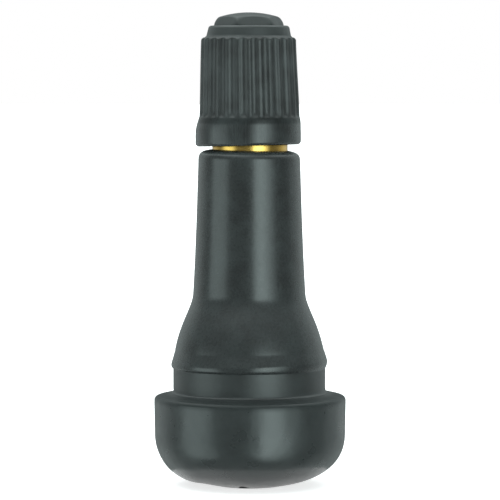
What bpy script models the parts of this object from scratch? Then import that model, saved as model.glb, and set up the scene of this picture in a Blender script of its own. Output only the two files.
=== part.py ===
"""Snap-in tyre valve: a rubber body bonded to a brass stem, a sprung valve core and a fluted dust cap.

Lengths are metres, +Z is up, and the origin is the centre of the foot's underside.
Every piece is turned about the valve's axis, so each one's origin lies on that axis.
"""

import math

import bmesh
import bpy
from mathutils import Matrix

MM = 0.001

# Facets round a full turn, and along the stretches of the turned outlines
BODY_STEPS = 36
CORE_STEPS = 24
FILLET_FACETS = 3
EDGE_FACETS = 4
CROWN_FACETS = 5
RING_FACETS = 6
NECK_FACETS = 4
LIP_FACETS = 7
SHOULDER_FACETS = 9
BULGE_FACETS = 11
FLUTE_FACETS = 14
VENT_FACETS = 16

# Clearances between the pieces
BOND_GAP = 0.05 * MM
THREAD_GAP = 0.08 * MM
SEAL_GAP = 0.05 * MM
CORE_GAP = 0.04 * MM
PIN_GUIDE_GAP = 0.08 * MM
CORE_BORE_GAP = 0.2 * MM

# Rubber body, from the foot upwards
FOOT_R = 3.4 * MM
UNDER_HOLE_R = 2.3 * MM
UNDER_HOLE_CHAMFER = 0.25 * MM
VENT_R = 0.72 * MM
VENT_DEPTH = 0.45 * MM
VENT_ANGLE = math.radians(81)
FLANGE_R = 9.8 * MM
FLANGE_FLARE = 0.05 * MM
BULGE_HEIGHT = 5.6 * MM
BULGE_FULLNESS = 2.5
FLANGE_HEIGHT = 9.17 * MM
FLANGE_EDGE = 0.42 * MM
FLANGE_CROWN = 0.31 * MM
GROOVE_R = 7.77 * MM
GROOVE_FILLET = 0.3 * MM
GROOVE_WIDTH = 2.27 * MM
RING_PROUD = 0.205 * MM
RING_WIDTH = 1.7 * MM
SHOULDER_HEIGHT = 6.35 * MM
NECK_BOTTOM_R = 5.69 * MM
NECK_TOP_R = 5.15 * MM
NECK_HEIGHT = 13.6 * MM
LIP_HEIGHT = 0.95 * MM

# The retaining ring's round: its crest's height, its two half-axes and its step at the shoulder,
# as shares of the ring's width and of how proud it stands, and the arc that it covers, in degrees
RING_CREST = 0.44
RING_HALF_HEIGHT = 0.62
RING_HALF_DEPTH = 2.5
RING_STEP = 0.2
RING_TOP_ANGLE = 52
RING_BOTTOM_ANGLE = -48

# Each swept stretch leaves its start and meets its end by these shares of its own width and height
LIP_LEAVE = (0.7, 0.1)
LIP_MEET = (0.0, 0.62)
NECK_LEAVE = (0.25, 0.33)
NECK_MEET = (0.5, 0.33)
SHOULDER_LEAVE = (0.055, 0.256)
SHOULDER_MEET = (0.255, 0.416)
SKIRT_LEAVE = (0.375, 0.3)
SKIRT_MEET = (0.0, 0.32)

# Brass stem
THREAD_R = 3.87 * MM
THREAD_LENGTH = 10.25 * MM
THREAD_RUN_IN = 0.45 * MM
MOUTH_CHAMFER = 0.42 * MM
BORE_CHAMFER = 0.21 * MM
SHANK_R = 3.3 * MM
BARB_PROUD = 0.35 * MM
BARB_NOSE = 0.27 * MM
BARB_TAPER = 1.08 * MM
BARB_PITCH = 1.8 * MM
FIRST_BARB_DROP = 0.9 * MM
BARB_COUNT = 3
TAIL_R = 2.6 * MM
TAIL_LENGTH = 16.0 * MM
STEM_FOOT_R = 4.4 * MM
STEM_FOOT_HEIGHT = 1.1 * MM
STEM_FOOT_Z = 6.3 * MM
AIR_BORE_R = 1.6 * MM

# Valve core, from the mouth downwards
PLUG_R = 2.6 * MM
PIN_RECESS = 0.3 * MM
PIN_PROUD = 0.8 * MM
BRIDGE_HEIGHT = 1.5 * MM
BRIDGE_R = 2.35 * MM
BRIDGE_WIDTH = 2.6 * MM
BRIDGE_ROOF = 0.5 * MM
BRIDGE_BORE_R = 1.5 * MM
BRIDGE_BORE_DEPTH = 0.2 * MM
PLUG_THREAD_LENGTH = 3.4 * MM
PLUG_BORE_R = 1.15 * MM
PLUG_WALL = 0.15 * MM
SWIVEL_R = 1.4 * MM
SWIVEL_HEIGHT = 0.55 * MM
SWIVEL_LIP = 0.25 * MM
SWIVEL_SKIRT_R = 1.95 * MM
SWIVEL_NECK_R = 1.05 * MM
GASKET_FLANGE_R = 1.9 * MM
GASKET_FLANGE_HEIGHT = 0.4 * MM
GASKET_HEIGHT = 1.75 * MM
GASKET_BORE_R = 1.3 * MM
TAPER_TOP_R = 2.4 * MM
BARREL_R = 1.75 * MM
BARREL_LENGTH = 8.7 * MM
BARREL_CHAMFER = 0.35 * MM
CHAMBER_R = 1.2 * MM
CHAMBER_ROOF = 0.4 * MM
CHAMBER_FLOOR = 1.1 * MM
AIR_HOLE_R = 0.75 * MM
PIN_R = 0.45 * MM
PIN_HEAD_R = 0.72 * MM
PIN_HEAD_HEIGHT = 1.1 * MM
PIN_HEAD_ROUND = 0.22 * MM
PIN_TRAVEL = 1.5 * MM
PIN_END_ROOM = 0.8 * MM
COLLAR_R = 1.05 * MM
COLLAR_HEIGHT = 0.5 * MM
WASHER_R = 1.3 * MM
WASHER_HEIGHT = 0.7 * MM
CUP_WALL = 0.2 * MM
CUP_FLOOR = 0.35 * MM
CUP_DEPTH = 0.45 * MM
RIVET_HEIGHT = 0.3 * MM
RIVET_FLARE = 0.27 * MM
SPRING_WIRE_R = 0.12 * MM
SPRING_COILS = 8
SPRING_R = 0.9 * MM
SPRING_POINTS = 10

# Dust cap
CAP_LIFT_OFF = 0.45 * MM
CAP_SKIRT_WALL = 1.38 * MM
CAP_SKIRT_HEIGHT = 3.1 * MM
CAP_STRAIGHT_HEIGHT = 1.29 * MM
CAP_RIM_ROUND = 0.55 * MM
CAP_LEAD_IN = 0.4 * MM
GRIP_BOTTOM_WALL = 1.14 * MM
GRIP_TOP_WALL = 0.92 * MM
FLUTE_COUNT = 27
FLUTE_DEPTH = 0.24 * MM
FLUTE_R = 0.5 * MM
FLUTE_OVERRUN = 0.4 * MM
FRONT_ANGLE = math.radians(-90)
CROWN_THICKNESS = 0.7 * MM
CROWN_ROUND = 0.49 * MM
CAP_LEDGE = 0.105 * MM
CAP_COLLAR_HEIGHT = 1.1 * MM
CAP_COLLAR_ROUND = 0.52 * MM
BOSS_CORNER_REACH = 0.05 * MM
BOSS_HEIGHT = 1.45 * MM
BOSS_ROOT = 0.35 * MM
BOSS_ANGLE = math.radians(-9)
BOSS_LEDGE = 0.185 * MM
BOSS_ROUND = 0.92 * MM
BOSS_ROUND_ANGLE = 75
BOSS_CROWN = 0.455 * MM
CAP_GASKET_R = 3.8 * MM
CAP_GASKET_HEIGHT = 0.55 * MM
CAP_GASKET_EDGE = 0.11 * MM

# Points closer than this on an outline are one point
SAME_POINT = 0.001 * MM

# Heights of the rubber body, each from the one below it
groove_z = FLANGE_HEIGHT + FLANGE_CROWN
ring_z = groove_z + GROOVE_WIDTH
shoulder_z = ring_z + RING_WIDTH
neck_z = shoulder_z + SHOULDER_HEIGHT
lip_z = neck_z + NECK_HEIGHT
rubber_top_z = lip_z + LIP_HEIGHT

# Heights of the stem and the core, each from the mouth downwards
mouth_z = rubber_top_z + THREAD_LENGTH
thread_bottom_z = rubber_top_z - THREAD_RUN_IN
pin_top_z = mouth_z - PIN_RECESS
plug_top_z = pin_top_z - PIN_PROUD
plug_thread_z = plug_top_z - BRIDGE_HEIGHT
plug_skirt_z = plug_thread_z - PLUG_THREAD_LENGTH
swivel_top_z = plug_skirt_z - PLUG_WALL - CORE_GAP
swivel_bottom_z = swivel_top_z - SWIVEL_HEIGHT
plug_bottom_z = swivel_bottom_z - CORE_GAP - SWIVEL_LIP
gasket_flange_z = plug_bottom_z - SEAL_GAP - GASKET_FLANGE_HEIGHT
gasket_ledge_z = gasket_flange_z - GASKET_HEIGHT
barrel_bottom_z = gasket_ledge_z - BARREL_LENGTH
chamber_floor_z = barrel_bottom_z + CHAMBER_FLOOR
chamber_roof_z = gasket_ledge_z - CHAMBER_ROOF
collar_z = chamber_roof_z - SEAL_GAP - COLLAR_HEIGHT
washer_top_z = barrel_bottom_z - SEAL_GAP
cup_seat_z = washer_top_z - WASHER_HEIGHT - CORE_GAP
cup_bottom_z = cup_seat_z - CUP_FLOOR
pin_bottom_z = cup_bottom_z - CORE_GAP - RIVET_HEIGHT
core_bore_r = BARREL_R + CORE_BORE_GAP
core_bore_z = pin_bottom_z - PIN_TRAVEL - PIN_END_ROOM
tail_top_z = STEM_FOOT_Z + TAIL_LENGTH

# Heights of the cap, from its rim upwards
cap_rim_z = rubber_top_z + CAP_LIFT_OFF
cap_skirt_z = cap_rim_z + CAP_SKIRT_HEIGHT
cap_bore_r = THREAD_R + THREAD_GAP
cap_gasket_z = mouth_z + SEAL_GAP
cap_ceiling_z = cap_gasket_z + CAP_GASKET_HEIGHT + SEAL_GAP
cap_crown_z = cap_ceiling_z + CROWN_THICKNESS
cap_collar_z = cap_crown_z + CAP_COLLAR_HEIGHT
cap_top_z = cap_collar_z + BOSS_HEIGHT

# Radii of the cap: the skirt and the grip by their walls over the bore, the collar and the boss by
# the ledges that they leave
cap_skirt_r = cap_bore_r + CAP_SKIRT_WALL
grip_bottom_r = cap_bore_r + GRIP_BOTTOM_WALL
grip_top_r = cap_bore_r + GRIP_TOP_WALL
cap_collar_r = grip_top_r - CROWN_ROUND - CAP_LEDGE
boss_dome_r = cap_collar_r - CAP_COLLAR_ROUND - BOSS_LEDGE
boss_corner_r = boss_dome_r + BOSS_CORNER_REACH

valve_parts = bpy.data.collections.new("tyre_valve")
cutting_tools = bpy.data.collections.new("cutters")


def clear_scene():
    """Start from nothing: the default cube, lamp and camera go, and the two collections come in."""
    for old in list(bpy.data.objects):
        bpy.data.objects.remove(old, do_unlink=True)
    for group in (valve_parts, cutting_tools):
        bpy.context.scene.collection.children.link(group)


def material(name, colour, roughness, metallic=0.0):
    """A plain surface: colour, roughness and whether it is metal."""
    made = bpy.data.materials.new(name)
    made.use_nodes = True
    surface = made.node_tree.nodes["Principled BSDF"]
    surface.inputs["Base Color"].default_value = (*colour, 1.0)
    surface.inputs["Roughness"].default_value = roughness
    surface.inputs["Metallic"].default_value = metallic
    return made


def arc(centre, radii, start, end, count):
    """Points on an ellipse's arc, in degrees from the outward direction."""
    angles = [math.radians(start + (end - start) * i / count) for i in range(count + 1)]
    return [
        (centre[0] + radii[0] * math.cos(a), centre[1] + radii[1] * math.sin(a))
        for a in angles
    ]


def sweep(start, end, leave, meet, count):
    """Points on a smooth curve, whose two pulls are shares of its width and height from each end."""
    width = end[0] - start[0]
    height = end[1] - start[1]
    pull_out = (start[0] + leave[0] * width, start[1] + leave[1] * height)
    pull_in = (end[0] - meet[0] * width, end[1] - meet[1] * height)
    corners = (start, pull_out, pull_in, end)
    points = []
    for i in range(count + 1):
        t = i / count
        weights = ((1 - t) ** 3, 3 * t * (1 - t) ** 2, 3 * t * t * (1 - t), t ** 3)
        points.append(tuple(sum(w * c[k] for w, c in zip(weights, corners)) for k in (0, 1)))
    return points


def without_repeats(points):
    """The same outline with each doubled corner once."""
    kept = [points[0]]
    for point in points[1:]:
        if math.dist(point, kept[-1]) > SAME_POINT:
            kept.append(point)
    return kept


def add_screw(thing, steps):
    """Turn a profile once round the Z axis."""
    turn = thing.modifiers.new("turned", "SCREW")
    turn.axis = "Z"
    turn.angle = math.tau
    turn.screw_offset = 0.0
    turn.steps = steps
    turn.render_steps = steps
    turn.use_merge_vertices = True
    turn.merge_threshold = SAME_POINT


def turned(name, points, steps, surface, origin_z=0.0, ring=True, group=valve_parts):
    """A turned piece. Its profile runs down the outer side, and a ring's runs back up the bore."""
    points = without_repeats(points)
    shape = bmesh.new()
    corners = [shape.verts.new((r, 0.0, z - origin_z)) for r, z in points]
    for near, far in zip(corners, corners[1:]):
        shape.edges.new((near, far))
    if ring:
        shape.edges.new((corners[-1], corners[0]))
    mesh = bpy.data.meshes.new(name)
    shape.to_mesh(mesh)
    shape.free()
    thing = bpy.data.objects.new(name, mesh)
    thing.location.z = origin_z
    if surface:
        mesh.materials.append(surface)
    group.objects.link(thing)
    add_screw(thing, steps)
    return thing


def as_cutter(name, shape):
    """A tool from a finished bmesh."""
    mesh = bpy.data.meshes.new(name)
    shape.to_mesh(mesh)
    shape.free()
    thing = bpy.data.objects.new(name, mesh)
    cutting_tools.objects.link(thing)
    return hidden(thing)


def hidden(thing):
    """A tool shows as a wire and never renders."""
    thing.hide_render = True
    thing.display_type = "WIRE"
    return thing


def combine(thing, tool, operation):
    """Cut, join or intersect a piece with a tool."""
    step = thing.modifiers.new(tool.name, "BOOLEAN")
    step.operation = operation
    step.solver = "EXACT"
    step.object = tool


def stem_outline(gap):
    """The stem's outer side from the mouth down, or the rubber's bore round it where gap is more than 0."""
    shank = SHANK_R + gap
    points = [(THREAD_R + gap, thread_bottom_z - gap)]
    for i in range(BARB_COUNT):
        top = thread_bottom_z - FIRST_BARB_DROP - i * BARB_PITCH
        points += [
            (shank, top),
            (shank + BARB_PROUD, top - BARB_NOSE),
            (shank, top - BARB_NOSE - BARB_TAPER),
        ]
    points += [
        (shank, tail_top_z + (SHANK_R - TAIL_R)),
        (TAIL_R + gap, tail_top_z),
        (TAIL_R + gap, STEM_FOOT_Z + STEM_FOOT_HEIGHT + gap),
        (STEM_FOOT_R + gap, STEM_FOOT_Z + STEM_FOOT_HEIGHT + gap),
        (STEM_FOOT_R + gap, STEM_FOOT_Z - gap),
    ]
    return points


def underside():
    """The rubber's bulging underside, from the flange's wall down to the flat foot."""
    power = 2 / BULGE_FULLNESS
    foot_angle = math.acos((FOOT_R / FLANGE_R) ** (1 / power))
    depth = BULGE_HEIGHT / math.sin(foot_angle) ** power
    points = []
    for i in range(BULGE_FACETS + 1):
        angle = foot_angle * i / BULGE_FACETS
        points.append(
            (FLANGE_R * math.cos(angle) ** power, BULGE_HEIGHT - depth * math.sin(angle) ** power)
        )
    return points


def vent_channel():
    """A round channel that runs across the foot's rim on both sides of its hole."""
    channel = bmesh.new()
    place = (
        Matrix.Translation((0.0, 0.0, VENT_DEPTH - VENT_R))
        @ Matrix.Rotation(VENT_ANGLE, 4, "Z")
        @ Matrix.Rotation(math.radians(90), 4, "Y")
    )
    bmesh.ops.create_cone(
        channel,
        cap_ends=True,
        segments=VENT_FACETS,
        radius1=VENT_R,
        radius2=VENT_R,
        depth=2 * FLANGE_R,
        matrix=place,
    )
    return as_cutter("vent_channel", channel)


def make_rubber_body(rubber):
    """Moulded rubber: domed lip, tapered neck, swept shoulder, retaining ring, rim groove and flange."""
    lip_r = THREAD_R + BOND_GAP
    flange_top_r = FLANGE_R + FLANGE_FLARE
    shoulder_r = GROOVE_R - RING_STEP * RING_PROUD
    ring_depth = RING_HALF_DEPTH * RING_PROUD
    ring_centre = (GROOVE_R + RING_PROUD - ring_depth, ring_z + RING_CREST * RING_WIDTH)
    ring_radii = (ring_depth, RING_HALF_HEIGHT * RING_WIDTH)
    groove_corner = (GROOVE_R + GROOVE_FILLET, groove_z + GROOVE_FILLET)
    flange_corner = (flange_top_r - FLANGE_EDGE, FLANGE_HEIGHT - FLANGE_EDGE)
    lip_top = (lip_r + BOND_GAP, rubber_top_z)
    neck_top = (NECK_TOP_R, lip_z)
    neck_bottom = (NECK_BOTTOM_R, neck_z)
    outline = [(lip_r, rubber_top_z)]
    outline += sweep(lip_top, neck_top, LIP_LEAVE, LIP_MEET, LIP_FACETS)
    outline += sweep(neck_top, neck_bottom, NECK_LEAVE, NECK_MEET, NECK_FACETS)
    outline += sweep(
        neck_bottom, (shoulder_r, shoulder_z), SHOULDER_LEAVE, SHOULDER_MEET, SHOULDER_FACETS
    )
    outline += arc(ring_centre, ring_radii, RING_TOP_ANGLE, RING_BOTTOM_ANGLE, RING_FACETS)
    outline += [(GROOVE_R, ring_z)]
    outline += arc(groove_corner, (GROOVE_FILLET, GROOVE_FILLET), 180, 270, FILLET_FACETS)
    outline += arc(flange_corner, (FLANGE_EDGE, FLANGE_EDGE), 90, 0, EDGE_FACETS)
    outline += underside()
    outline += [
        (UNDER_HOLE_R + UNDER_HOLE_CHAMFER, 0.0),
        (UNDER_HOLE_R, UNDER_HOLE_CHAMFER),
        (UNDER_HOLE_R, STEM_FOOT_Z - BOND_GAP),
    ]
    outline += reversed(stem_outline(BOND_GAP))
    body = turned("rubber_body", outline, BODY_STEPS, rubber)
    combine(body, vent_channel(), "DIFFERENCE")


def make_brass_stem(brass):
    """Turned brass: a threaded tip with the core's bore and taper seat, a barbed shank and a wide foot."""
    seat_top = gasket_flange_z + SEAL_GAP
    thread_bore_r = PLUG_R + THREAD_GAP
    outline = [
        (thread_bore_r + BORE_CHAMFER, mouth_z),
        (THREAD_R - MOUTH_CHAMFER, mouth_z),
        (THREAD_R, mouth_z - MOUTH_CHAMFER),
    ]
    outline += stem_outline(0.0)
    outline += [
        (AIR_BORE_R, STEM_FOOT_Z),
        (AIR_BORE_R, core_bore_z - (core_bore_r - AIR_BORE_R)),
        (core_bore_r, core_bore_z),
        (core_bore_r, gasket_ledge_z),
        (TAPER_TOP_R, seat_top),
        (thread_bore_r, seat_top + (thread_bore_r - TAPER_TOP_R)),
        (thread_bore_r, mouth_z - BORE_CHAMFER),
    ]
    turned("brass_stem", outline, BODY_STEPS, brass)


def bridge_flats():
    """Two blocks that cut the plug's round top to a flat bridge."""
    flats = bmesh.new()
    height = 2 * BRIDGE_HEIGHT
    centre_z = plug_thread_z + (PLUG_R - BRIDGE_R) + height / 2
    for side in (-1, 1):
        block = bmesh.ops.create_cube(flats, size=1.0)["verts"]
        bmesh.ops.scale(flats, vec=(PLUG_R, 4 * PLUG_R, height), verts=block)
        bmesh.ops.translate(flats, vec=(side * (BRIDGE_WIDTH + PLUG_R) / 2, 0.0, centre_z), verts=block)
    return as_cutter("bridge_flats", flats)


def make_core_plug(brass):
    """Turned brass: the screwed end of the core, bridged over the pin, with a swivel pocket below."""
    pocket_r = SWIVEL_R + CORE_GAP
    guide_r = PIN_HEAD_R + PIN_GUIDE_GAP
    bore_bottom = plug_thread_z - BRIDGE_BORE_DEPTH
    outline = [
        (guide_r, plug_top_z),
        (BRIDGE_R, plug_top_z),
        (BRIDGE_R, plug_thread_z + (PLUG_R - BRIDGE_R)),
        (PLUG_R, plug_thread_z),
        (PLUG_R, plug_skirt_z + (PLUG_R - SWIVEL_SKIRT_R) / 2),
        (SWIVEL_SKIRT_R, plug_skirt_z),
        (SWIVEL_SKIRT_R, plug_bottom_z),
        (SWIVEL_NECK_R + CORE_GAP, plug_bottom_z),
        (SWIVEL_NECK_R + CORE_GAP, swivel_bottom_z - CORE_GAP),
        (pocket_r, swivel_bottom_z - CORE_GAP),
        (pocket_r, swivel_top_z + CORE_GAP),
        (PLUG_BORE_R, swivel_top_z + CORE_GAP),
        (PLUG_BORE_R, bore_bottom - (BRIDGE_BORE_R - PLUG_BORE_R)),
        (BRIDGE_BORE_R, bore_bottom),
        (BRIDGE_BORE_R, plug_top_z - BRIDGE_ROOF),
        (guide_r, plug_top_z - BRIDGE_ROOF),
    ]
    plug = turned("core_plug", outline, CORE_STEPS, brass)
    combine(plug, bridge_flats(), "DIFFERENCE")


def make_core_barrel(brass):
    """Turned brass: a swivel head, a flange over the gasket, and the tube that houses the spring."""
    outline = [
        (AIR_HOLE_R, swivel_top_z),
        (SWIVEL_R, swivel_top_z),
        (SWIVEL_R, swivel_bottom_z),
        (SWIVEL_NECK_R, swivel_bottom_z),
        (SWIVEL_NECK_R, plug_bottom_z - SEAL_GAP),
        (GASKET_FLANGE_R, plug_bottom_z - SEAL_GAP),
        (GASKET_FLANGE_R, gasket_flange_z),
        (GASKET_BORE_R, gasket_flange_z),
        (GASKET_BORE_R, gasket_ledge_z),
        (BARREL_R, gasket_ledge_z),
        (BARREL_R, barrel_bottom_z + BARREL_CHAMFER),
        (BARREL_R - BARREL_CHAMFER, barrel_bottom_z),
        (AIR_HOLE_R, barrel_bottom_z),
        (AIR_HOLE_R, chamber_floor_z),
        (CHAMBER_R, chamber_floor_z),
        (CHAMBER_R, chamber_roof_z),
        (AIR_HOLE_R, chamber_roof_z),
    ]
    turned("core_barrel", outline, CORE_STEPS, brass)


def make_barrel_gasket(sealing_plastic):
    """The conical seal that the plug presses into the stem's taper."""
    slope = (TAPER_TOP_R - core_bore_r) / (GASKET_HEIGHT + SEAL_GAP)
    bottom_z = gasket_ledge_z + CORE_GAP
    top_z = gasket_flange_z - CORE_GAP
    outline = [
        (GASKET_BORE_R + CORE_GAP, top_z),
        (core_bore_r + slope * (top_z - gasket_ledge_z) - CORE_GAP, top_z),
        (core_bore_r + slope * (bottom_z - gasket_ledge_z) - CORE_GAP, bottom_z),
        (GASKET_BORE_R + CORE_GAP, bottom_z),
    ]
    turned("barrel_gasket", outline, CORE_STEPS, sealing_plastic)


def make_core_pin(steel):
    """The pin: a rounded head, a swaged collar over the spring, and a riveted end under the cup."""
    head_corner = (PIN_HEAD_R - PIN_HEAD_ROUND, pin_top_z - PIN_HEAD_ROUND)
    head_z = pin_top_z - PIN_HEAD_HEIGHT
    rivet_r = PIN_R + RIVET_FLARE
    outline = [(0.0, pin_top_z)]
    outline += arc(head_corner, (PIN_HEAD_ROUND, PIN_HEAD_ROUND), 90, 0, FILLET_FACETS)
    outline += [
        (PIN_HEAD_R, head_z),
        (PIN_R, head_z - (PIN_HEAD_R - PIN_R)),
        (PIN_R, collar_z + COLLAR_HEIGHT),
        (COLLAR_R, collar_z + COLLAR_HEIGHT),
        (COLLAR_R, collar_z),
        (PIN_R, collar_z),
        (PIN_R, cup_bottom_z - CORE_GAP),
        (rivet_r, cup_bottom_z - CORE_GAP),
        (rivet_r - RIVET_HEIGHT / 2, pin_bottom_z),
        (0.0, pin_bottom_z),
    ]
    turned("core_pin", outline, CORE_STEPS, steel, origin_z=pin_top_z, ring=False)


def make_seat_cup(brass):
    """The cup that carries the sealing washer under the barrel."""
    inner_r = WASHER_R + CORE_GAP
    outer_r = inner_r + CUP_WALL
    rim_z = cup_seat_z + CUP_DEPTH
    outline = [
        (inner_r, rim_z),
        (outer_r, rim_z),
        (outer_r, cup_bottom_z + CUP_WALL),
        (outer_r - CUP_WALL, cup_bottom_z),
        (PIN_R + CORE_GAP, cup_bottom_z),
        (PIN_R + CORE_GAP, cup_seat_z),
        (inner_r, cup_seat_z),
    ]
    turned("seat_cup", outline, CORE_STEPS, brass, origin_z=cup_bottom_z)


def make_seat_washer(rubber):
    """The rubber washer that closes on the barrel's lower end."""
    bottom_z = cup_seat_z + CORE_GAP
    outline = [
        (PIN_R + CORE_GAP, washer_top_z),
        (WASHER_R, washer_top_z),
        (WASHER_R, bottom_z),
        (PIN_R + CORE_GAP, bottom_z),
    ]
    turned("seat_washer", outline, CORE_STEPS, rubber, origin_z=bottom_z)


def make_core_spring(steel):
    """A coil spring between the chamber's floor and the pin's collar."""
    low = chamber_floor_z + SPRING_WIRE_R + CORE_GAP
    high = collar_z - SPRING_WIRE_R - CORE_GAP
    count = SPRING_COILS * SPRING_POINTS
    wire = bpy.data.curves.new("core_spring", "CURVE")
    wire.dimensions = "3D"
    wire.bevel_depth = SPRING_WIRE_R
    wire.bevel_resolution = 2
    wire.use_fill_caps = True
    wire.materials.append(steel)
    line = wire.splines.new("POLY")
    line.points.add(count)
    for i in range(count + 1):
        angle = math.tau * i / SPRING_POINTS
        climb = (high - low) * i / count
        line.points[i].co = (SPRING_R * math.cos(angle), SPRING_R * math.sin(angle), climb, 1.0)
    thing = bpy.data.objects.new("core_spring", wire)
    thing.location.z = low
    valve_parts.objects.link(thing)


def flute_cutters():
    """A ring of round cutters that leans with the cap's draft, with a crest facing the front."""
    bottom_z = cap_skirt_z - FLUTE_OVERRUN
    top_z = cap_crown_z + FLUTE_OVERRUN
    middle_z = (bottom_z + top_z) / 2
    lean = math.atan((grip_bottom_r - grip_top_r) / (cap_crown_z - CROWN_ROUND - cap_skirt_z))
    middle_r = grip_bottom_r - (middle_z - cap_skirt_z) * math.tan(lean)
    ring = bmesh.new()
    for i in range(FLUTE_COUNT):
        turn = FRONT_ANGLE + math.tau * (i + 0.5) / FLUTE_COUNT
        place = (
            Matrix.Rotation(turn, 4, "Z")
            @ Matrix.Translation((middle_r + FLUTE_R - FLUTE_DEPTH, 0.0, middle_z))
            @ Matrix.Rotation(-lean, 4, "Y")
        )
        bmesh.ops.create_cone(
            ring,
            cap_ends=True,
            segments=FLUTE_FACETS,
            radius1=FLUTE_R,
            radius2=FLUTE_R,
            depth=top_z - bottom_z,
            matrix=place,
        )
    return as_cutter("flutes", ring)


def dome_outline(root_z):
    """Half the boss's dome: a shallow crown that runs over a rounded edge to a straight side."""
    edge_r = boss_dome_r - BOSS_ROUND
    edge_angle = math.radians(BOSS_ROUND_ANGLE)
    crown_r = edge_r + BOSS_ROUND * math.cos(edge_angle)
    edge_height = (BOSS_HEIGHT - BOSS_CROWN) / math.sin(edge_angle)
    ball_r = (crown_r ** 2 + BOSS_CROWN ** 2) / (2 * BOSS_CROWN)
    points = []
    for i in range(CROWN_FACETS):
        r = crown_r * i / CROWN_FACETS
        points.append((r, cap_top_z - ball_r + math.sqrt(ball_r ** 2 - r ** 2)))
    points += arc((edge_r, cap_collar_z), (BOSS_ROUND, edge_height), BOSS_ROUND_ANGLE, 0, CROWN_FACETS)
    points += [(boss_dome_r, root_z), (0.0, root_z)]
    return points


def domed_boss():
    """A hexagonal boss whose top is turned to a shallow dome, rooted in the cap's collar."""
    root_z = cap_collar_z - BOSS_ROOT
    height = cap_top_z + CROWN_THICKNESS - root_z
    prism = bmesh.new()
    bmesh.ops.create_cone(
        prism,
        cap_ends=True,
        segments=6,
        radius1=boss_corner_r,
        radius2=boss_corner_r,
        depth=height,
        matrix=Matrix.Rotation(BOSS_ANGLE, 4, "Z") @ Matrix.Translation((0.0, 0.0, root_z + height / 2)),
    )
    boss = as_cutter("boss", prism)
    dome = turned("dome", dome_outline(root_z - BOSS_ROOT), BODY_STEPS, None, ring=False, group=cutting_tools)
    combine(boss, hidden(dome), "INTERSECT")
    return boss


def make_dust_cap(plastic):
    """Moulded plastic: a smooth skirt, a fluted grip, a turned collar and a domed hexagonal boss."""
    crown_r = grip_top_r - CROWN_ROUND
    collar_corner = (cap_collar_r - CAP_COLLAR_ROUND, cap_collar_z - CAP_COLLAR_ROUND)
    rim_corner = (cap_skirt_r - CAP_RIM_ROUND, cap_rim_z + CAP_RIM_ROUND)
    skirt_top = (grip_bottom_r, cap_skirt_z)
    skirt_side = (cap_skirt_r, cap_rim_z + CAP_STRAIGHT_HEIGHT)
    outline = [(0.0, cap_collar_z)]
    outline += arc(collar_corner, (CAP_COLLAR_ROUND, CAP_COLLAR_ROUND), 90, 0, EDGE_FACETS)
    outline += [(cap_collar_r, cap_crown_z + (crown_r - cap_collar_r))]
    outline += arc((crown_r, cap_crown_z - CROWN_ROUND), (CROWN_ROUND, CROWN_ROUND), 90, 0, CROWN_FACETS)
    outline += sweep(skirt_top, skirt_side, SKIRT_LEAVE, SKIRT_MEET, CROWN_FACETS)
    outline += arc(rim_corner, (CAP_RIM_ROUND, CAP_RIM_ROUND), 0, -90, CROWN_FACETS)
    outline += [
        (cap_bore_r + CAP_LEAD_IN, cap_rim_z),
        (cap_bore_r, cap_rim_z + CAP_LEAD_IN),
        (cap_bore_r, cap_ceiling_z),
        (0.0, cap_ceiling_z),
    ]
    cap = turned("dust_cap", outline, BODY_STEPS, plastic, origin_z=cap_rim_z, ring=False)
    combine(cap, flute_cutters(), "DIFFERENCE")
    combine(cap, domed_boss(), "UNION")


def make_cap_gasket(rubber):
    """The loose rubber disc that the cap presses on the stem's mouth."""
    top_z = cap_gasket_z + CAP_GASKET_HEIGHT
    face_r = CAP_GASKET_R - CAP_GASKET_EDGE
    outline = [
        (0.0, top_z),
        (face_r, top_z),
        (CAP_GASKET_R, top_z - CAP_GASKET_EDGE),
        (CAP_GASKET_R, cap_gasket_z + CAP_GASKET_EDGE),
        (face_r, cap_gasket_z),
        (0.0, cap_gasket_z),
    ]
    turned("cap_gasket", outline, BODY_STEPS, rubber, origin_z=cap_gasket_z, ring=False)


def shade_smooth():
    """Round faces shade smooth, and edges of more than 35 degrees stay crisp."""
    for thing in valve_parts.objects:
        if thing.type == "MESH":
            thing.data.shade_smooth()
            thing.data.set_sharp_from_angle(angle=math.radians(35))


clear_scene()
black_rubber = material("moulded_rubber", (0.036, 0.038, 0.038), 0.45)
black_plastic = material("moulded_plastic", (0.036, 0.038, 0.038), 0.38)
bright_brass = material("turned_brass", (0.80, 0.60, 0.27), 0.22, 1.0)
spring_steel = material("spring_steel", (0.56, 0.56, 0.55), 0.3, 1.0)
seal_plastic = material("seal_plastic", (0.62, 0.12, 0.10), 0.4)

make_rubber_body(black_rubber)
make_brass_stem(bright_brass)
make_core_plug(bright_brass)
make_core_barrel(bright_brass)
make_barrel_gasket(seal_plastic)
make_core_pin(spring_steel)
make_seat_cup(bright_brass)
make_seat_washer(black_rubber)
make_core_spring(spring_steel)
make_dust_cap(black_plastic)
make_cap_gasket(black_rubber)
shade_smooth()
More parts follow.
